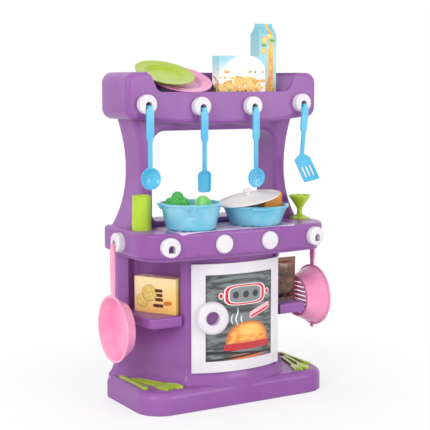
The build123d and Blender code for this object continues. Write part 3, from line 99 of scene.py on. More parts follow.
class Graph:
    """A material's node tree, with short names for the nodes that the finishes share."""

    def __init__(self, name: str) -> None:
        """Make the material and its main shader.

        Args:
            name: the material's name.
        """
        self.material = bpy.data.materials.new(name)
        self.material.use_nodes = True
        self.nodes = self.material.node_tree.nodes
        self.links = self.material.node_tree.links
        self.shader = next(n for n in self.nodes if n.type == "BSDF_PRINCIPLED")
        coords = self.nodes.new("ShaderNodeTexCoord")
        self.place = coords.outputs["Object"]
        split = self.nodes.new("ShaderNodeSeparateXYZ")
        self.links.new(self.place, split.inputs[0])
        self.x, self.y, self.z = split.outputs

    def plug(self, socket: Socket, value: Value) -> None:
        """Link a socket to another, or set its constant.

        Args:
            socket: the input.
            value: an output socket, a number or a colour.
        """
        if isinstance(value, Socket):
            self.links.new(value, socket)
        else:
            socket.default_value = value

    def math(self, kind: str, a: Value, b: Value = 0.0, clamp: bool = False) -> Socket:
        """Do one sum.

        Args:
            kind: the operation, such as ADD.
            a: the first value or socket.
            b: the second value or socket.
            clamp: keep the result between zero and one.

        Returns:
            The result's socket.
        """
        node = self.nodes.new("ShaderNodeMath")
        node.operation = kind
        node.use_clamp = clamp
        self.plug(node.inputs[0], a)
        self.plug(node.inputs[1], b)
        return node.outputs[0]

    def line(self, value: Value, slope: float, start: float, clamp: bool = False) -> Socket:
        """Give the start plus the value times the slope.

        Args:
            value: the value's socket.
            slope: the rise for each unit of the value.
            start: the result where the value is zero.
            clamp: keep the result between zero and one.

        Returns:
            The result's socket.
        """
        result = self.math("MULTIPLY_ADD", value, slope, clamp)
        result.node.inputs[2].default_value = start
        return result

    def mix(self, share: Value, a: Value, b: Value) -> Socket:
        """Blend two colours.

        Args:
            share: how much of the second colour, 0 to 1.
            a: the first colour or socket.
            b: the second colour or socket.

        Returns:
            The blended colour's socket.
        """
        node = self.nodes.new("ShaderNodeMix")
        node.data_type = "RGBA"
        self.plug(node.inputs[0], share)
        self.plug(node.inputs[6], a)
        self.plug(node.inputs[7], b)
        return node.outputs[2]

    def texture(self, kind: str, size_mm: float, stretch: tuple) -> bpy.types.Node:
        """Add a texture whose features have a real size on the object.

        Args:
            kind: the node's type.
            size_mm: the features' width.
            stretch: scale along X, Y and Z; a small number draws the features out.

        Returns:
            The texture's node.
        """
        shift = self.nodes.new("ShaderNodeMapping")
        shift.inputs["Scale"].default_value = stretch
        self.links.new(self.place, shift.inputs["Vector"])
        node = self.nodes.new(kind)
        node.inputs["Scale"].default_value = 1 / (size_mm * MM)
        self.links.new(shift.outputs[0], node.inputs["Vector"])
        return node

    def noise(self, size_mm: float, detail: float = 3.0, stretch: tuple = (1, 1, 1)) -> Socket:
        """Cloudy noise with features of a real size.

        Args:
            size_mm: the features' width.
            detail: the number of finer layers.
            stretch: scale along X, Y and Z; a small number draws the features out.

        Returns:
            The noise's value, about 0.3 to 0.7.
        """
        node = self.texture("ShaderNodeTexNoise", size_mm, stretch)
        node.inputs["Detail"].default_value = detail
        return node.outputs[0]

    def cells(self, size_mm: float, output: str = "Distance", stretch: tuple = (1, 1, 1)) -> Socket:
        """Cells of a real size.

        Args:
            size_mm: the distance between cells.
            output: Distance for the distance to the cell's middle, Color for its own random colour.
            stretch: scale along X, Y and Z.

        Returns:
            The chosen output's socket.
        """
        return self.texture("ShaderNodeTexVoronoi", size_mm, stretch).outputs[output]

    def ramp(self, value: Value, low: float, high: float) -> Socket:
        """Rise smoothly from zero at low to one at high; a low above the high falls instead.

        Args:
            value: the socket to remap.
            low: where the result is zero.
            high: where the result is one.

        Returns:
            The remapped socket, held between zero and one.
        """
        node = self.nodes.new("ShaderNodeMapRange")
        node.interpolation_type = "SMOOTHSTEP"
        flip = low > high
        bounds = (high, low, 1.0, 0.0) if flip else (low, high, 0.0, 1.0)
        self.plug(node.inputs[0], value)
        for socket, number in zip(node.inputs[1:5], bounds):
            socket.default_value = number
        return node.outputs[0]

    def round_shape(self, a: Value, b: Value, at: tuple, half: tuple, power: float = 2.0) -> Socket:
        """The size of a rounded figure through each point: one on its edge, less inside.

        The value is the sum of both distances from the middle, each over its half-width, to a power,
        taken to the inverse power: power two is an ellipse and higher powers are rounder boxes.

        Args:
            a: the across coordinate, in metres.
            b: the up coordinate, in metres.
            at: the middle, in millimetres.
            half: the half-widths, in millimetres.
            power: the roundness.

        Returns:
            The value's socket.
        """
        terms = []
        for value, middle, reach in ((a, at[0], half[0]), (b, at[1], half[1])):
            away = self.math("ABSOLUTE", self.math("SUBTRACT", value, middle * MM))
            terms.append(self.math("POWER", self.math("DIVIDE", away, reach * MM), power))
        return self.math("POWER", self.math("ADD", *terms), 1 / power)

    def ink(self, paint: Value, size: Value, edge: float, soft: float, colour: Colour) -> Socket:
        """Print one colour inside a figure.

        Args:
            paint: the colour so far.
            size: the figure's size through each point, or the distance from a line.
            edge: the size at which the ink ends.
            soft: how far the ink fades to each side of its edge.
            colour: the ink's colour.

        Returns:
            The printed colour's socket.
        """
        return self.mix(self.ramp(size, edge + soft, edge - soft), paint, linear(colour))

    def card(self, paint: Value, roughness: tuple, grain_mm: float = 3.0, depth_mm: float = 0.08) -> None:
        """Finish the material as printed card.

        Args:
            paint: the printed colour.
            roughness: the cloud values that stand for a roughness of zero and of one.
            grain_mm: the width of the card's grain.
            depth_mm: the grain's depth.
        """
        self.plug(self.shader.inputs["Base Color"], paint)
        self.plug(self.shader.inputs["Roughness"], self.ramp(self.noise(12), *roughness))
        self.plug(self.shader.inputs["Normal"], self.bump(self.noise(grain_mm), depth_mm, 0.25))

    def bump(self, height: Socket, depth_mm: float, strength: float = 1.0,
             under: Socket | None = None) -> Socket:
        """Press a height into the surface's shading.

        Args:
            height: the height's socket, 0 to 1.
            depth_mm: the depth that a height of one stands for.
            strength: how much of it shows.
            under: the normal of a bump below this one, or None.

        Returns:
            The bent normal's socket.
        """
        node = self.nodes.new("ShaderNodeBump")
        node.inputs["Strength"].default_value = strength
        node.inputs["Distance"].default_value = depth_mm * MM
        self.links.new(height, node.inputs["Height"])
        if under is not None:
            self.links.new(under, node.inputs["Normal"])
        return node.outputs[0]


@dataclass(frozen=True)
class Moulded:
    """A moulded plastic: its colour drifts a little, with fine grain, flow marks and light scuffs."""

    name: str
    colour: Colour
    shade: Colour
    surface: Surface = Surface.SATIN
    drift_mm: float = 90.0
    grain_mm: float = 1.1
    scuff_mm: float = 14.0
    scuff_gloss: float = 0.10
    flow_mm: float = 60.0
    coat_roughness: float = 0.08
    glow: float = 0.06

    def build(self) -> bpy.types.Material:
        """Make the material.

        Returns:
            The finished material.
        """
        g = Graph(self.name)
        drift = g.ramp(g.noise(self.drift_mm), 0.35, 0.68)
        g.plug(g.shader.inputs["Base Color"], g.mix(drift, linear(self.colour), linear(self.shade)))
        scuff = g.ramp(g.noise(self.scuff_mm, 6, (1.0, 1.0, 0.12)), 0.60, 0.72)
        rough = g.line(g.noise(25), 0.10, self.surface.value.roughness - 0.05, True)
        duller = g.math("MULTIPLY", scuff, self.scuff_gloss)
        g.plug(g.shader.inputs["Roughness"], g.math("ADD", rough, duller, True))
        g.shader.inputs["Specular IOR Level"].default_value = self.surface.value.shine
        g.shader.inputs["Coat Weight"].default_value = self.surface.value.coat
        g.shader.inputs["Coat Roughness"].default_value = self.coat_roughness
        g.shader.inputs["Subsurface Weight"].default_value = self.glow
        g.shader.inputs["Subsurface Radius"].default_value = (0.004, 0.003, 0.004)
        g.shader.inputs["Subsurface Scale"].default_value = 0.5
        flow = g.bump(g.noise(self.flow_mm, 1.0), 0.5, 0.25)
        fine = g.bump(g.noise(self.grain_mm, 2.0), 0.08, self.surface.value.grain * 4, flow)
        g.plug(g.shader.inputs["Normal"], fine)
        return g.material


@dataclass(frozen=True)
class Steel:
    """Zinc-plated steel, with fine drawn lines along its length."""

    name: str = "zinc_plated_steel"
    dull: Colour = (168, 170, 174)
    bright: Colour = (205, 206, 208)

    def build(self) -> bpy.types.Material:
        """Make the material.

        Returns:
            The finished material.
        """
        g = Graph(self.name)
        lines = g.noise(0.4, 2.0, (1, 1, 0.05))
        g.plug(g.shader.inputs["Base Color"], g.mix(lines, linear(self.dull), linear(self.bright)))
        g.shader.inputs["Metallic"].default_value = 1.0
        g.plug(g.shader.inputs["Roughness"], g.ramp(lines, -0.6, 1.6))
        g.plug(g.shader.inputs["Normal"], g.bump(lines, 0.05, 0.4))
        return g.material


@dataclass(frozen=True)
class OvenPicture:
    """The door's printed sheet: a dark slatted window, a plain badge, and a golden pie in a red dish.

    Places and sizes are in millimetres, across and up the closed door.
    """

    name: str = "oven_window_print"
    sheet_at: tuple = (0.0, 178.0)
    sheet_half: tuple = (79.0, 89.0)
    badge_at: tuple = (9.0, 222.0)
    badge_half: tuple = (47.0, 20.0)
    spot_half: tuple = (5.5, 7.0)
    dot_half: tuple = (7.0, 7.0)
    ribbon_at: tuple = (44.0, 172.0)
    ribbon_half: tuple = (26.0, 7.5)
    stripe_at: tuple = (44.0, 169.0)
    stripe_half: tuple = (23.0, 2.2)
    ribbon_slope: float = 0.32
    pie_x: float = 15.0
    pie_half: tuple = (52.0, 47.0)
    dish_top: float = 124.0
    dish_bottom: float = 110.0
    rack_bars: tuple = ((113.0, 0.10), (104.0, -0.08), (97.0, 0.06))
    glow_at: tuple = (11.0, 95.0)
    glow_half: tuple = (40.0, 6.0)
    wisps: tuple = ((-22.0, 12.0), (-12.0, 20.0), (0.0, 9.0))
    wisp_foot: float = 168.0
    slat_dark: Colour = (56, 60, 60)
    slat_light: Colour = (120, 126, 128)
    # Colour of the painted shade that darkens the sheet towards its edge, under the door's frame.
    painted_frame_shade: Colour = (52, 55, 56)
    white: Colour = (245, 236, 238)
    red: Colour = (206, 32, 44)
    spot_red: Colour = (206, 32, 60)
    badge_grey: Colour = (128, 134, 136)
    dot_grey: Colour = (44, 46, 48)
    ribbon_pink: Colour = (240, 186, 192)
    stripe_red: Colour = (204, 46, 62)
    rack_black: Colour = (14, 12, 12)
    glow: Colour = (212, 104, 46)
    crust_deep: Colour = (226, 128, 48)
    crust_light: Colour = (246, 180, 84)
    crust_shine: Colour = (250, 196, 100)
    crust_edge: Colour = (196, 104, 40)
    dish_red: Colour = (188, 34, 42)
    steam_white: Colour = (226, 232, 234)

    def build(self) -> bpy.types.Material:
        """Make the material.

        Returns:
            The finished material.
        """
        g = Graph(self.name)
        slats = g.noise(7, 2.0, (0.05, 1.0, 1.0))
        paint = g.mix(g.ramp(slats, 0.36, 0.64), linear(self.slat_dark), linear(self.slat_light))
        # Painted shade: the sheet darkens over its outer tenth towards its edge, where the door's frame
        # shades it.
        edge = g.round_shape(g.x, g.z, self.sheet_at, self.sheet_half, 14.0)
        paint = g.mix(g.ramp(edge, 0.90, 1.0), paint, linear(self.painted_frame_shade))
        for layer in (self.badge, self.ribbon, self.rack, self.pie, self.steam):
            paint = layer(g, paint)
        g.plug(g.shader.inputs["Base Color"], paint)
        g.plug(g.shader.inputs["Roughness"], g.ramp(g.noise(30), -0.5, 2.2))
        g.shader.inputs["Coat Weight"].default_value = 0.3
        g.plug(g.shader.inputs["Normal"], g.bump(g.noise(1.2), 0.05, 0.2))
        return g.material

    def badge(self, g: Graph, paint: Socket) -> Socket:
        """Print a plain red badge ring with white borders, two side spots and three dots.

        Args:
            g: the material's graph.
            paint: the colour so far.

        Returns:
            The colour with the badge on it.
        """
        size = g.round_shape(g.x, g.z, self.badge_at, self.badge_half, 4.0)
        rings = ((1.05, self.white), (0.99, self.red), (0.85, self.white), (0.79, self.badge_grey))
        for edge, colour in rings:
            paint = g.ink(paint, size, edge, 0.01, colour)
        for side in (-1, 1):
            at = (self.badge_at[0] + side * (self.badge_half[0] + 8), self.badge_at[1])
            spot = g.round_shape(g.x, g.z, at, self.spot_half)
            paint = g.ink(paint, spot, 1.0, 0.02, self.white)
            paint = g.ink(paint, spot, 0.70, 0.02, self.spot_red)
        for side in (-0.5, 0.0, 0.5):
            at = (self.badge_at[0] + side * self.badge_half[0], self.badge_at[1])
            paint = g.ink(paint, g.round_shape(g.x, g.z, at, self.dot_half), 1.0, 0.05, self.dot_grey)
        return paint

    def ribbon(self, g: Graph, paint: Socket) -> Socket:
        """Print a slanting pink ribbon with a red stripe at the right.

        Args:
            g: the material's graph.
            paint: the colour so far.

        Returns:
            The colour with the ribbon on it.
        """
        tilted = g.math("SUBTRACT", g.z, g.math("MULTIPLY", g.x, self.ribbon_slope))
        band = g.round_shape(g.x, tilted, self.ribbon_at, self.ribbon_half, 6.0)
        stripe = g.round_shape(g.x, tilted, self.stripe_at, self.stripe_half, 6.0)
        paint = g.ink(paint, band, 1.0, 0.03, self.ribbon_pink)
        return g.ink(paint, stripe, 1.0, 0.05, self.stripe_red)

    def rack(self, g: Graph, paint: Socket) -> Socket:
        """Print the oven rack's thin dark bars over the glow of the dish on the oven's floor.

        Args:
            g: the material's graph.
            paint: the colour so far.

        Returns:
            The colour with the rack on it.
        """
        glow = g.round_shape(g.x, g.z, self.glow_at, self.glow_half)
        paint = g.ink(paint, glow, 0.95, 0.45, self.glow)
        for height, slope in self.rack_bars:
            away = g.math("SUBTRACT", g.z, g.line(g.x, slope, height * MM))
            paint = g.ink(paint, g.math("ABSOLUTE", away), 1.9 * MM, 0.3 * MM, self.rack_black)
        return paint

    def pie(self, g: Graph, paint: Socket) -> Socket:
        """Print a domed golden pie with darker pleats in a red dish.

        Args:
            g: the material's graph.
            paint: the colour so far.

        Returns:
            The colour with the pie and its dish on it.
        """
        size = g.round_shape(g.x, g.z, (self.pie_x, self.dish_top - 4), self.pie_half, 2.4)
        above = g.ramp(g.z, (self.dish_top - 0.4) * MM, (self.dish_top + 0.4) * MM)
        pleats = g.ramp(g.noise(16, 2.0, (1, 1, 2.5)), 0.35, 0.65)
        crust = g.mix(pleats, linear(self.crust_deep), linear(self.crust_light))
        shine = g.round_shape(g.x, g.z, (self.pie_x + 4, self.dish_top + 26), (30.0, 14.0))
        crust = g.ink(crust, shine, 0.9, 0.6, self.crust_shine)
        crust = g.mix(g.ramp(size, 0.80, 1.0), crust, linear(self.crust_edge))
        paint = g.mix(g.math("MULTIPLY", g.ramp(size, 1.01, 0.98), above), paint, crust)
        middle = (self.dish_top + self.dish_bottom) / 2
        half = (self.pie_half[0] + 3, (self.dish_top - self.dish_bottom) / 2)
        dish = g.round_shape(g.x, g.z, (self.pie_x, middle), half, 8.0)
        return g.ink(paint, dish, 1.0, 0.02, self.dish_red)

    def steam(self, g: Graph, paint: Socket) -> Socket:
        """Print a few pale wisps that sway as they rise from the pie.

        Args:
            g: the material's graph.
            paint: the colour so far.

        Returns:
            The colour with the wisps on it.
        """
        sway = g.math("MULTIPLY", g.math("SINE", g.math("MULTIPLY", g.z, 190.0)), 2.4 * MM)
        for x, height in self.wisps:
            at = (x, self.wisp_foot + height / 2)
            wisp = g.round_shape(g.math("ADD", g.x, sway), g.z, at, (2.0, height))
            paint = g.ink(paint, wisp, 0.85, 0.25, self.steam_white)
        return paint


@dataclass(frozen=True)
class CerealPrint:
    """The cereal box: pale blue sky, a milky swirl and loose golden flakes, with sizes in millimetres."""

    name: str = "cereal_print"
    left: float = -11.0
    right: float = 97.0
    low: float = 577.0
    high: float = 694.0
    sky_from: float = 640.0
    sky_to: float = 690.0
    swirl_half: tuple = (50.0, 40.0)
    heap_half: tuple = (58.0, 26.0)
    loose_top: float = 666.0
    flake_mm: float = 7.0
    cream: Colour = (248, 246, 240)
    sky: Colour = (150, 205, 222)
    milk: Colour = (252, 251, 248)
    milk_shade: Colour = (214, 220, 226)
    flake_deep: Colour = (206, 142, 52)
    flake_light: Colour = (240, 198, 108)
    raisin: Colour = (120, 84, 44)
    seed: Colour = (132, 160, 72)

    def build(self) -> bpy.types.Material:
        """Make the material.

        Returns:
            The finished material.
        """
        g = Graph(self.name)
        middle = ((self.left + self.right) / 2, (self.low + self.high) / 2)
        sky = g.ramp(g.z, self.sky_from * MM, self.sky_to * MM)
        paint = g.mix(sky, linear(self.cream), linear(self.sky))
        swirl = g.round_shape(g.x, g.z, (middle[0] + 6, middle[1] + 20), self.swirl_half)
        paint = g.ink(paint, swirl, 1.0, 0.08, self.milk)
        rim = g.math("ABSOLUTE", g.math("SUBTRACT", swirl, 0.72))
        paint = g.ink(paint, rim, 0.025, 0.025, self.milk_shade)
        g.card(self.flakes(g, paint, middle), (-0.2, 1.6), 2.0, 0.06)
        return g.material

    def flakes(self, g: Graph, paint: Socket, middle: tuple) -> Socket:
        """Scatter cells of flake colours thickly over the lower half and thinly above it.

        Args:
            g: the material's graph.
            paint: the colour so far.
            middle: the box's middle, in millimetres.

        Returns:
            The colour with the flakes on it.
        """
        stretch = (1.0, 1.0, 1.15)
        tint = g.nodes.new("ShaderNodeSeparateColor")
        g.links.new(g.cells(self.flake_mm, "Color", stretch), tint.inputs[0])
        first, second, third = tint.outputs
        flake = g.mix(first, linear(self.flake_deep), linear(self.flake_light))
        flake = g.mix(g.ramp(second, 0.90, 0.92), flake, linear(self.raisin))
        flake = g.mix(g.ramp(third, 0.92, 0.94), flake, linear(self.seed))
        heap = g.round_shape(g.x, g.z, (middle[0] - 4, self.low + 50), self.heap_half)
        edge = g.math("ADD", heap, g.math("MULTIPLY", g.noise(9), 0.9))
        dense = g.ramp(edge, 1.48, 1.40)
        shape = g.ramp(g.cells(self.flake_mm, "Distance", stretch), 0.85, 0.72)
        under = g.ramp(g.z, (self.loose_top + 6) * MM, (self.loose_top - 6) * MM)
        loose = g.math("MULTIPLY", g.ramp(third, 0.78, 0.80), under)
        return g.mix(g.math("MULTIPLY", shape, g.math("MAXIMUM", dense, loose)), paint, flake)


@dataclass(frozen=True)
class JuicePrint:
    """The juice carton: pale blue card, a tall orange splash and round slices, with sizes in millimetres."""

    name: str = "juice_print"
    fade_from: float = 660.0
    fade_to: float = 770.0
    splash_x: float = 122.0
    splash_foot: float = 620.0
    splash_half: float = 9.0
    splash_taper: float = 0.045
    slices: tuple = ((114.0, 728.0, 7.5), (126.0, 736.0, 6.0), (112.0, 706.0, 6.0))
    leaves: tuple = ((133.0, 727.0), (113.0, 717.0))
    leaf_half: tuple = (7.0, 3.0)
    leaf_slope: float = 0.4
    pale: Colour = (184, 222, 222)
    blue: Colour = (116, 188, 206)
    juice_deep: Colour = (232, 150, 40)
    juice_light: Colour = (250, 200, 90)
    rind: Colour = (238, 146, 34)
    flesh: Colour = (252, 208, 110)
    leaf: Colour = (112, 164, 60)

    def build(self) -> bpy.types.Material:
        """Make the material.

        Returns:
            The finished material.
        """
        g = Graph(self.name)
        fade = g.ramp(g.z, self.fade_from * MM, self.fade_to * MM)
        paint = g.mix(fade, linear(self.pale), linear(self.blue))
        wavy = g.line(g.noise(26, 3.0), 0.014, self.splash_x * MM)
        away = g.math("ABSOLUTE", g.math("SUBTRACT", g.x, wavy))
        foot = (self.splash_half + self.splash_taper * self.splash_foot) * MM
        past = g.math("SUBTRACT", away, g.line(g.z, -self.splash_taper, foot))
        juice = g.mix(g.ramp(g.noise(10), 0.35, 0.65), linear(self.juice_deep), linear(self.juice_light))
        paint = g.mix(g.ramp(past, MM, -MM), paint, juice)
        for x, z, radius in self.slices:
            size = g.round_shape(g.x, g.z, (x, z), (radius, radius))
            paint = g.ink(paint, size, 1.0, 0.04, self.rind)
            paint = g.ink(paint, size, 0.83, 0.03, self.flesh)
        for x, z in self.leaves:
            leaning = g.math("ADD", g.x, g.math("MULTIPLY", g.z, self.leaf_slope))
            size = g.round_shape(leaning, g.z, (x + self.leaf_slope * z, z), self.leaf_half)
            paint = g.ink(paint, size, 1.0, 0.06, self.leaf)
        g.card(paint, (-0.4, 1.9))
        return g.material


@dataclass(frozen=True)
class BiscuitPrint:
    """The biscuit box: warm cream card with golden biscuits, bars of chocolate and an ear of wheat.

    The box stands turned in its niche, so the across coordinate is taken along its face, in millimetres.
    """

    name: str = "biscuit_print"
    face_cosine: float = 0.861
    face_sine: float = 0.508
    biscuits: tuple = ((100.0, 208.0, 14.0), (84.0, 224.0, 17.0))
    chocolates: tuple = ((62.0, 230.0, 9.0), (60.0, 221.0, 7.0), (61.0, 212.0, 9.0), (63.0, 200.0, 12.0))
    bar_half: float = 3.4
    fade_from: float = 205.0
    fade_to: float = 285.0
    ear_at: tuple = (144.0, 206.0)
    ear_half: tuple = (10.0, 5.0)
    warm: Colour = (246, 198, 104)
    cream: Colour = (250, 232, 178)
    crust: Colour = (196, 158, 66)
    crumb_deep: Colour = (220, 196, 92)
    crumb_light: Colour = (238, 220, 136)
    chocolate: Colour = (88, 54, 38)
    wheat: Colour = (206, 124, 44)

    def build(self) -> bpy.types.Material:
        """Make the material.

        Returns:
            The finished material.
        """
        g = Graph(self.name)
        across = g.math("MULTIPLY", g.x, self.face_sine)
        along = g.math("SUBTRACT", g.math("MULTIPLY", g.y, self.face_cosine), across)
        slant = g.math("ADD", g.z, g.math("MULTIPLY", along, 0.4))
        fade = g.ramp(slant, self.fade_from * MM, self.fade_to * MM)
        paint = g.mix(fade, linear(self.warm), linear(self.cream))
        for at, height, size in self.biscuits:
            disc = g.round_shape(along, g.z, (at, height), (size, size))
            paint = g.ink(paint, disc, 1.0, 0.03, self.crust)
            crumb = g.mix(g.ramp(g.noise(4), 0.4, 0.6), linear(self.crumb_deep), linear(self.crumb_light))
            paint = g.mix(g.ramp(disc, 0.92, 0.86), paint, crumb)
        for at, height, width in self.chocolates:
            bar = g.round_shape(along, g.z, (at, height), (width, self.bar_half), 5.0)
            paint = g.ink(paint, bar, 1.0, 0.05, self.chocolate)
        leaning = g.math("ADD", along, g.math("MULTIPLY", g.z, 0.5))
        ear = g.round_shape(leaning, g.z, self.ear_at, self.ear_half)
        paint = g.ink(paint, ear, 0.975, 0.075, self.wheat)
        g.card(paint, (-0.4, 1.9))
        return g.material


@dataclass(frozen=True)
class Foil:
    """Printed foil: dark brown, mottled like cake, with a crinkled gloss and a paler top edge."""

    name: str = "chocolate_foil"
    deep: Colour = (50, 24, 16)
    brown: Colour = (118, 70, 46)
    top: Colour = (138, 84, 52)
    top_from: float = 263.0
    top_to: float = 266.0

    def build(self) -> bpy.types.Material:
        """Make the material.

        Returns:
            The finished material.
        """
        g = Graph(self.name)
        paint = g.mix(g.ramp(g.noise(11, 5.0), 0.34, 0.62), linear(self.deep), linear(self.brown))
        wavy = g.math("ADD", g.z, g.math("MULTIPLY", g.noise(20), 0.012))
        top = g.ramp(wavy, self.top_from * MM, self.top_to * MM)
        g.plug(g.shader.inputs["Base Color"], g.mix(top, paint, linear(self.top)))
        g.plug(g.shader.inputs["Roughness"], g.ramp(g.noise(18), -0.1, 1.9))
        g.shader.inputs["Coat Weight"].default_value = 0.4
        folds = g.bump(g.cells(9.0), 0.5, 0.5)
        g.plug(g.shader.inputs["Normal"], g.bump(g.noise(3.0, 4.0), 0.4, 0.6, folds))
        return g.material


@dataclass(frozen=True)
class Food:
    """Toy food: a colour with painted shade in its hollows and random darker patches, with a fine bumpy
    skin.
    """

    name: str
    colour: Colour
    # the colour of the painted shade in hollows, and of the random darker patches
    deep: Colour
    skin_mm: float
    skin_depth: float
    roughness: float = 0.5

    def build(self) -> bpy.types.Material:
        """Make the material.

        Returns:
            The finished material.
        """
        g = Graph(self.name)
        # Painted shade: the colour darkens by how deep each point lies in a hollow, on top of random darker
        # patches.
        hollow = g.nodes.new("ShaderNodeAttribute")
        hollow.attribute_name = "hollow"
        patches = g.math("MULTIPLY", g.ramp(g.noise(16), 0.35, 0.7), 0.35)
        share = g.math("ADD", hollow.outputs["Fac"], patches, True)
        g.plug(g.shader.inputs["Base Color"], g.mix(share, linear(self.colour), linear(self.deep)))
        g.shader.inputs["Roughness"].default_value = self.roughness
        g.shader.inputs["Subsurface Weight"].default_value = 0.15
        g.shader.inputs["Subsurface Scale"].default_value = 0.004
        g.plug(g.shader.inputs["Normal"], g.bump(g.noise(self.skin_mm, 4.0), self.skin_depth, 0.7))
        return g.material


def dress(finish: Finish, *nodes: str) -> None:
    """Give CAD nodes a finish.

    Args:
        finish: the finish to build.
        nodes: the nodes' names.
    """
    material = finish.build()
    for node in nodes:
        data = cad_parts[node].data
        data.materials.clear()
        data.materials.append(material)
        LOG.info("%s has %s", node, material.name)


def mesh_piece(name: str, points: np.ndarray, faces: np.ndarray, hollow: np.ndarray) -> bpy.types.Object:
    """Make a smooth object from computed points.

    Args:
        name: the piece's name.
        points: one row per vertex, in metres.
        faces: one row of four vertex numbers per face.
        hollow: how deep each vertex lies in a hollow, 0 to 1, which its finish paints as shade.

    Returns:
        The new object, linked to the scene.
    """
    mesh = bpy.data.meshes.new(name)
    mesh.from_pydata(points.tolist(), [], faces.tolist())
    mesh.polygons.foreach_set("use_smooth", np.ones(len(mesh.polygons), bool))
    mesh.attributes.new("hollow", "FLOAT", "POINT").data.foreach_set("value", hollow.astype(np.float32))
    mesh.update()
    piece = bpy.data.objects.new(name, mesh)
    bpy.context.scene.collection.objects.link(piece)
    return piece


def grid_faces(rows: int, columns: int, start: int = 0) -> np.ndarray:
    """Number the four-sided faces of a tube of points stored ring by ring.

    Args:
        rows: the number of rings.
        columns: the number of points in a ring, whose last is joined to its first.
        start: the number of the first point.

    Returns:
        One row of four vertex numbers per face.
    """
    r, c = np.meshgrid(np.arange(rows - 1), np.arange(columns), indexing="ij")
    n = (c + 1) % columns
    quads = np.stack([r * columns + c, r * columns + n, (r + 1) * columns + n, (r + 1) * columns + c], -1)
    return quads.reshape(-1, 4) + start


def install(piece: bpy.types.Object, finish: Finish, body: str, node: str) -> None:
    """Finish a computed piece and put it in its node's stead.

    Args:
        piece: the object.
        finish: its finish.
        body: the CAD body it moves with.
        node: the CAD node it stands for.
    """
    piece.data.materials.append(finish.build())
    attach(piece, body)
    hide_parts(node)
    LOG.info("%s replaces %s", piece.name, node)


@dataclass
class Stand:
    """The purple mouldings: plinth, cabinet, shelves, worktop, arch and top trough."""

    purple: tuple = ((148, 92, 162), (140, 80, 154))
    grill: tuple = ((236, 222, 242), (222, 204, 232))
    mouldings: tuple = ("plinth", "cabinet", "left_side_shelf", "right_side_shelf", "worktop", "back_frame",
                        "top_shelf", "door_hole_cap")

    def build(self) -> None:
        """Finish the mouldings, the hob's grill and the hidden steel."""
        dress(Moulded("purple_polyethylene", *self.purple, drift_mm=140), *self.mouldings)
        dress(Moulded("lilac_grill", *self.grill, grain_mm=0.8), "hob_grid")
        dress(Steel(), "plinth_screws", "hinge_pins")


@dataclass
class Fittings:
    """The white fittings: hooks, knobs, the door with its ring handle, and the door's picture."""

    white: tuple = ((226, 223, 226), (219, 214, 221))
    top_hooks: int = 4
    others: tuple = ("counter_hook_left", "counter_hook_right", "side_hook_left", "side_hook_right",
                     "left_knob", "right_knob", "oven_door", "door_ring_handle")

    def build(self) -> None:
        """Finish each fitting."""
        hooks = [f"top_hook_{i + 1}" for i in range(self.top_hooks)]
        dress(Moulded("white_plastic", *self.white, grain_mm=0.9), *hooks, *self.others)
        dress(OvenPicture(), "door_picture")


@dataclass
class Cookware:
    """The blue utensils and pots, the pink pans, and the off-white lid."""

    sky: tuple = ((84, 184, 222), (62, 172, 216))
    pot_blue: tuple = ((136, 200, 220), (96, 188, 216))
    pink: tuple = ((243, 160, 197), (240, 144, 188))
    off_white: tuple = ((236, 231, 227), (228, 220, 216))
    grain_mm: float = 0.7
    utensils: tuple = ("ladle", "serving_spoon", "skimmer", "turner")
    pots: tuple = ("saucepan", "casserole")
    pans: tuple = ("frying_pan", "colander")

    def build(self) -> None:
        """Finish each piece."""
        glossy, grain = Surface.GLOSSY, self.grain_mm
        dress(Moulded("sky_blue_plastic", *self.sky, glossy, 40, grain), *self.utensils)
        dress(Moulded("pot_blue_plastic", *self.pot_blue, glossy, 60, grain), *self.pots)
        dress(Moulded("pink_plastic", *self.pink, glossy, 60, grain), *self.pans)
        dress(Moulded("off_white_plastic", *self.off_white, Surface.SATIN, 50, grain), "casserole_lid")


@dataclass
class Tableware:
    """The plates, cups and cutlery."""

    lime: tuple = ((178, 208, 46), (166, 198, 36))
    plate_lime: tuple = ((168, 190, 30), (158, 182, 26))
    plate_pink: tuple = ((232, 150, 196), (228, 138, 188))
    grain_mm: float = 0.7

    def build(self) -> None:
        """Finish each piece."""
        glossy, grain = Surface.GLOSSY, self.grain_mm
        sets = [f"{side}_{kind}" for side in ("left", "right") for kind in ("knife", "fork", "spoon")]
        dress(Moulded("lime_plastic", *self.lime, glossy, 50, grain), "tumbler", "goblet", *sets)
        dress(Moulded("plate_lime_plastic", *self.plate_lime, glossy, 60, grain), "green_plate")
        dress(Moulded("plate_pink_plastic", *self.plate_pink, glossy, 60, grain), "pink_plate")


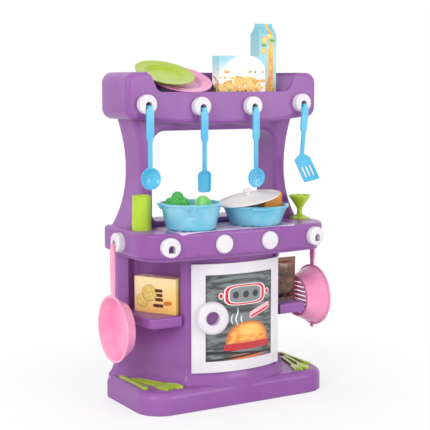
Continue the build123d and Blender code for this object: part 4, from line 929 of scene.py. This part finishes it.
@dataclass
class Packets:
    """The card packets, and the foil packet, whose pillow shape is computed in millimetres and shares."""

    rows: int = 96
    columns: int = 72
    crimp: float = 7.0
    wrinkle: float = 0.45
    corner_power: float = 0.8
    end_share: float = 0.05
    puff_rate: float = 0.9
    fold_fade: float = 2.2
    fine_folds: float = 26.0
    broad_folds: float = 9.0
    thin_sides: float = 0.6
    waist: float = 0.03

    def build(self) -> None:
        """Finish the card packets and make the foil one."""
        dress(CerealPrint(), "cereal_box")
        dress(JuicePrint(), "juice_carton")
        dress(BiscuitPrint(), "biscuit_box")
        install(self.pillow(), Foil(), "chocolate_packet", "chocolate_packet")

    def pillow(self) -> bpy.types.Object:
        """Compute the foil packet.

        Each row is a flat closed loop at one height. Its half-thickness is a small share of the full depth
        along the crimps. Past them it grows as one minus an exponential of the distance, and less towards
        the sides, by the fourth power of the across distance. Fine folds run in from the crimps as a sine
        of the across distance that fades towards the middle, over a broad slanting sine half as high.

        Returns:
            The packet's object.
        """
        low, high = (np.array(corner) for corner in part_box("chocolate_packet"))
        middle, half = (low + high) / 2, (high - low) / 2
        v = np.linspace(-1, 1, self.rows)[:, None]
        turn = np.linspace(0, 2 * math.pi, self.columns, endpoint=False)[None, :]
        across = np.sign(np.cos(turn)) * np.abs(np.cos(turn)) ** self.corner_power
        through = np.sign(np.sin(turn)) * np.abs(np.sin(turn)) ** self.corner_power
        share = self.crimp * MM / half[2]
        body = np.clip((1 - np.abs(v)) / share - 1, 0, None)
        full = 1 - np.exp(-self.puff_rate * body)
        fold = np.sin(self.fine_folds * across + 2 * v) * np.exp(-self.fold_fade * body)
        fold = fold + 0.5 * np.sin(self.broad_folds * across - 7 * v)
        thick = self.end_share + (1 - self.end_share) * full * (1 - np.abs(across) ** 4 * self.thin_sides)
        y = through * half[1] * thick + self.wrinkle * MM * fold * full * np.sign(through) * 0.8
        y = np.clip(y, -half[1], half[1])
        x = across * half[0] * (1 - self.waist * full)
        z = np.broadcast_to(v * half[2], x.shape)
        points = np.stack([x, y, z], -1).reshape(-1, 3) + middle
        faces = grid_faces(self.rows, self.columns)
        return mesh_piece("foil_packet", points, faces, np.zeros(len(points)))


@dataclass
class Vegetables:
    """The toy vegetables in the saucepan, whose sizes are shares of their solids' boxes."""

    # Each pair is the food's colour, then the colour of its painted shade and darker patches.
    floret_green: tuple = ((94, 202, 96), (40, 158, 62))
    leaf_green: tuple = ((142, 214, 122), (84, 184, 82))
    bumps: int = 70
    bump_height: float = 0.13
    rows: int = 60
    columns: int = 80
    florets: int = 5
    floret_share: float = 0.52
    floret_turn: float = 1.26
    floret_start: float = 0.3
    floret_drop: float = 1.85
    stalk_rows: int = 24
    stalk_columns: int = 40
    stalk_top: float = 1.8
    stalk_base: float = 0.30
    stalk_flare: float = 0.28
    stalk_ribs: float = 0.05
    leaves: int = 5
    leaf_step: float = 0.07
    leaf_lean: float = 0.5
    ripple: float = 0.012
    seed: int = 7

    def build(self) -> None:
        """Make both vegetables in place of their plain solids."""
        floret = Food("floret_green", *self.floret_green, 1.4, 0.5, 0.3)
        leaf = Food("leaf_green", *self.leaf_green, 5.0, 0.5, 0.3)
        install(self.broccoli(), floret, "broccoli", "broccoli")
        install(self.lettuce(), leaf, "lettuce", "lettuce")

    def ball(self, rng: np.random.Generator) -> tuple[np.ndarray, np.ndarray]:
        """Compute a unit ball covered in rounded bumps.

        Bump middles are spread evenly by the golden angle and jittered. At each point the surface stands out
        by the bumps' height times one minus the square of the distance to the nearest bump over its reach.

        Args:
            rng: the source of the jitter.

        Returns:
            The points, one row each, and how deep each lies between bumps, which is painted as shade.
        """
        rise = np.linspace(-1, 1, self.rows)[:, None] * math.pi / 2
        turn = np.linspace(0, 2 * math.pi, self.columns, endpoint=False)[None, :]
        ring = np.cos(rise)
        unit = np.stack(np.broadcast_arrays(ring * np.cos(turn), ring * np.sin(turn), np.sin(rise)), -1)
        unit = unit.reshape(-1, 3)
        i = np.arange(self.bumps)
        z = 1 - 2 * (i + 0.5) / self.bumps
        angle = i * math.pi * (3 - math.sqrt(5))
        flat = np.sqrt(1 - z**2)
        seeds = np.stack([flat * np.cos(angle), flat * np.sin(angle), z], -1)
        seeds += rng.normal(0, 0.05, (self.bumps, 3))
        seeds /= np.linalg.norm(seeds, axis=1, keepdims=True)
        near = np.min(np.linalg.norm(unit[:, None, :] - seeds[None], axis=2), axis=1)
        reach = 2.1 / math.sqrt(self.bumps)
        crown = np.clip(1 - (near / reach) ** 2, 0, 1)
        # How deep each point lies between bumps becomes painted shade in the food's finish.
        return unit * (1 - self.bump_height + self.bump_height * crown)[:, None], 1 - crown

    def broccoli(self) -> bpy.types.Object:
        """Compute the broccoli: a flared stalk under one bumpy head and a ring of more.

        The stalk's radius grows with the square of the height, times one plus a small cosine of six turns.
        It is nothing at the lowest row, which closes the end.

        Returns:
            The broccoli's object.
        """
        rng = np.random.default_rng(self.seed)
        low, high = (np.array(corner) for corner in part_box("broccoli"))
        middle = (low + high) / 2
        radius = min(high[0] - low[0], high[1] - low[1]) / 2
        big = self.floret_share * radius
        ring = radius - big * 0.94
        places = [(0.0, 0.0, high[2] - big)]
        for i in range(self.florets):
            turn = self.floret_turn * i + self.floret_start
            places.append((ring * math.cos(turn), ring * math.sin(turn), high[2] - big * self.floret_drop))
        parts, shades, faces, count = [], [], [], 0
        for place in places:
            points, shade = self.ball(rng)
            size = big * rng.uniform(0.88, 0.94)
            parts.append(points * size + np.array([middle[0] + place[0], middle[1] + place[1], place[2]]))
            shades.append(shade)
            faces.append(grid_faces(self.rows, self.columns, count))
            count += len(points)
        v = np.linspace(0, 1, self.stalk_rows)[:, None]
        turn = np.linspace(0, 2 * math.pi, self.stalk_columns, endpoint=False)[None, :]
        width = radius * (self.stalk_base + self.stalk_flare * v**2)
        width = width * (1 + self.stalk_ribs * np.cos(6 * turn)) * np.where(v == 0, 0.0, 1.0)
        stalk = np.stack(np.broadcast_arrays(width * np.cos(turn), width * np.sin(turn), v), -1)
        stalk = stalk.reshape(-1, 3)
        stalk[:, 2] *= high[2] - big * self.stalk_top - low[2]
        parts.append(stalk + np.array([middle[0], middle[1], low[2]]))
        shades.append(np.full(len(stalk), 0.1))
        faces.append(grid_faces(self.stalk_rows, self.stalk_columns, count))
        return mesh_piece("broccoli_head", np.vstack(parts), np.vstack(faces), np.concatenate(shades))

    def lettuce(self) -> bpy.types.Object:
        """Compute the lettuce: an egg whose leaves overlap round it like tiles.

        The radius rises along each leaf with the share of the turn that it spans, then drops to the next
        one. The leaves lean with the height, and small ripples run up them. Painted shade lies where each
        leaf starts, under the edge of the one before, most at mid-height.

        Returns:
            The lettuce's object.
        """
        low, high = (np.array(corner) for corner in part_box("lettuce"))
        middle, half = (low + high) / 2, (high - low) / 2
        rise = np.linspace(-1, 1, self.rows)[:, None] * math.pi / 2
        turn = np.linspace(0, 2 * math.pi, 3 * self.columns, endpoint=False)[None, :]
        lean = turn / (2 * math.pi) * self.leaves + self.leaf_lean * np.sin(rise)
        along = lean - np.floor(lean)
        step = self.leaf_step * np.cos(rise) ** 0.5 * (along - along**12)
        size = 1 - self.leaf_step + step + self.ripple * np.sin(9 * rise) * np.cos(rise) * along
        ring = np.cos(rise) ** 0.85
        points = np.stack(np.broadcast_arrays(size * ring * np.cos(turn), size * ring * np.sin(turn),
                                              np.sin(rise) * np.ones_like(turn)), -1)
        # Painted shade: darkest where each leaf starts, tucked under the edge of the one before, fading to
        # none at the top and bottom.
        depth = np.clip(1 - along * 1.6, 0, 1) * np.cos(rise)
        points = points.reshape(-1, 3) * half * np.array([0.99, 0.99, 1.0]) + middle
        return mesh_piece("lettuce_head", points, grid_faces(self.rows, 3 * self.columns), depth.reshape(-1))


@dataclass
class BreadedFillet:
    """The breaded fillet in the casserole: the solid's form under a coat of crumbs, in millimetres."""

    # The crumb colour, then the colour of its painted shade and darker patches.
    colours: tuple = ((254, 168, 60), (228, 128, 38))
    voxel: float = 1.1
    crumb: float = 0.35
    waves: int = 40
    seed: int = 3

    def build(self) -> None:
        """Make the crumbed fillet in place of its plain solid."""
        crumbs = Food("breadcrumbs", *self.colours, 1.2, 0.4)
        install(self.fillet(), crumbs, "fish_fillet", "fish_fillet")

    def fillet(self) -> bpy.types.Object:
        """Compute the crumbed surface.

        A copy of the solid's mesh is remeshed evenly, and each point moves in along its normal by the
        crumb size times a sum of short sine waves in random directions, held between zero and one. How far
        each point moves in also sets its painted shade.

        Returns:
            The fillet's object.
        """
        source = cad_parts["fish_fillet"]
        copy = bpy.data.objects.new("fillet_form", source.data.copy())
        bpy.context.scene.collection.objects.link(copy)
        remesh = copy.modifiers.new("even", "REMESH")
        remesh.mode = "VOXEL"
        remesh.voxel_size = self.voxel * MM
        graph = bpy.context.evaluated_depsgraph_get()
        mesh = bpy.data.meshes.new_from_object(copy.evaluated_get(graph))
        bpy.data.objects.remove(copy)
        points = np.zeros(len(mesh.vertices) * 3)
        mesh.vertices.foreach_get("co", points)
        points = points.reshape(-1, 3)
        normals = np.zeros(len(mesh.vertices) * 3)
        mesh.vertices.foreach_get("normal", normals)
        rng = np.random.default_rng(self.seed)
        directions = rng.normal(size=(self.waves, 3))
        directions /= np.linalg.norm(directions, axis=1, keepdims=True)
        rates = rng.uniform(0.9, 2.6, self.waves) / MM
        starts = rng.uniform(0, 6.3, self.waves)
        total = np.sin(points @ (directions * rates[:, None]).T + starts).sum(1)
        depth = np.clip(0.5 + total / math.sqrt(self.waves) / 2, 0, 1)
        points = points - normals.reshape(-1, 3) * (self.crumb * MM * depth)[:, None]
        faces = np.array([tuple(p.vertices) for p in mesh.polygons if len(p.vertices) == 4])
        # The deeper pits between the crumbs get painted shade, at about a third of their depth.
        piece = mesh_piece("breaded_fillet", points, faces, depth * 0.35)
        bpy.data.meshes.remove(mesh)
        return piece


@dataclass
class Studio:
    """The white studio: pale floor, soft lights, and the camera where the photograph was taken."""

    azimuth: float = 30.56
    pitch: float = 6.72
    lens: float = 93.8
    sensor: float = 36.0
    place: tuple = (-1.1629, -1.9571, 0.6398)
    floor_size: float = 40.0
    aim_height: float = 0.35
    near_glow: float = 0.65
    sky_light: float = 0.82
    lamps: tuple = (("key", (-2.7, -1.5, 1.7), 1.4, 40.0), ("fill", (1.4, -2.7, 1.1), 1.4, 20.0),
                    ("top", (0.1, 0.3, 2.8), 1.6, 8.0))

    def build(self) -> None:
        """Make the camera, floor, sky and lights."""
        self.camera()
        self.floor()
        self.sky()
        for name, place, size, watts in self.lamps:
            self.light(name, place, size, watts)
        scene = bpy.context.scene
        scene.view_settings.view_transform = "Standard"
        scene.view_settings.look = "None"

    def camera(self) -> None:
        """Stand the camera where the photograph was taken from."""
        data = bpy.data.cameras.new("camera")
        data.lens, data.sensor_width = self.lens, self.sensor
        data.clip_start, data.clip_end = 0.05, 60.0
        camera = bpy.data.objects.new("camera", data)
        bpy.context.scene.collection.objects.link(camera)
        camera.location = self.place
        camera.rotation_euler = (math.radians(90 - self.pitch), 0.0, -math.radians(self.azimuth))
        bpy.context.scene.camera = camera

    def floor(self) -> None:
        """Lay a pale floor that glows more to the camera as it runs out, so that it meets the white sky."""
        size = self.floor_size / 2
        corners = np.array([(-size, -size, 0), (size, -size, 0), (size, size, 0), (-size, size, 0)])
        floor = mesh_piece("floor", corners, np.array([[0, 1, 2, 3]]), np.zeros(4))
        g = Graph("floor_paper")
        g.shader.inputs["Roughness"].default_value = 0.9
        g.plug(g.shader.inputs["Base Color"], g.mix(g.noise(400), (0.86, 0.86, 0.86, 1), (0.9, 0.9, 0.9, 1)))
        glow = g.nodes.new("ShaderNodeEmission")
        rays = g.nodes.new("ShaderNodeLightPath")
        blend = g.nodes.new("ShaderNodeMixShader")
        reach = g.math("SQRT", g.math("ADD", g.math("POWER", g.x, 2.0), g.math("POWER", g.y, 2.0)))
        far = g.line(g.ramp(reach, 0.25, 0.75), 1 - self.near_glow, self.near_glow)
        g.links.new(g.math("MULTIPLY", rays.outputs["Is Camera Ray"], far), blend.inputs[0])
        g.links.new(g.shader.outputs[0], blend.inputs[1])
        g.links.new(glow.outputs[0], blend.inputs[2])
        out = next(n for n in g.nodes if n.type == "OUTPUT_MATERIAL")
        g.links.new(blend.outputs[0], out.inputs["Surface"])
        floor.data.materials.append(g.material)

    def sky(self) -> None:
        """Make the world white to the camera and in gloss, and a soft grey light to everything else."""
        world = bpy.data.worlds.new("studio")
        world.use_nodes = True
        bpy.context.scene.world = world
        nodes, links = world.node_tree.nodes, world.node_tree.links
        back = next(n for n in nodes if n.type == "BACKGROUND")
        rays = nodes.new("ShaderNodeLightPath")
        level = nodes.new("ShaderNodeMapRange")
        level.inputs[3].default_value = self.sky_light
        level.inputs[4].default_value = 1.0
        seen = nodes.new("ShaderNodeMath")
        seen.operation = "MAXIMUM"
        links.new(rays.outputs["Is Camera Ray"], seen.inputs[0])
        links.new(rays.outputs["Is Glossy Ray"], seen.inputs[1])
        links.new(seen.outputs[0], level.inputs[0])
        links.new(level.outputs[0], back.inputs["Strength"])
        back.inputs["Color"].default_value = (1, 1, 1, 1)

    def light(self, name: str, place: tuple, size: float, watts: float) -> None:
        """Hang one soft box that faces the middle of the kitchen.

        Args:
            name: the light's name.
            place: where it hangs.
            size: its side.
            watts: its power.
        """
        data = bpy.data.lights.new(name, "AREA")
        data.shape, data.size, data.energy = "SQUARE", size, watts
        light = bpy.data.objects.new(name, data)
        bpy.context.scene.collection.objects.link(light)
        light.location = place
        aim = Vector((0.0, 0.0, self.aim_height)) - light.location
        light.rotation_euler = aim.to_track_quat("-Z", "Y").to_euler()


def main() -> None:
    """Build the studio, then dress each sub-assembly in turn."""
    logging.basicConfig(level=logging.INFO, format="%(message)s")
    for kind in (Studio, Stand, Fittings, Cookware, Tableware, Packets, Vegetables, BreadedFillet):
        part = kind()
        part.build()
        LOG.info("%s is done", type(part).__name__)


if __name__ == "__main__":
    main()
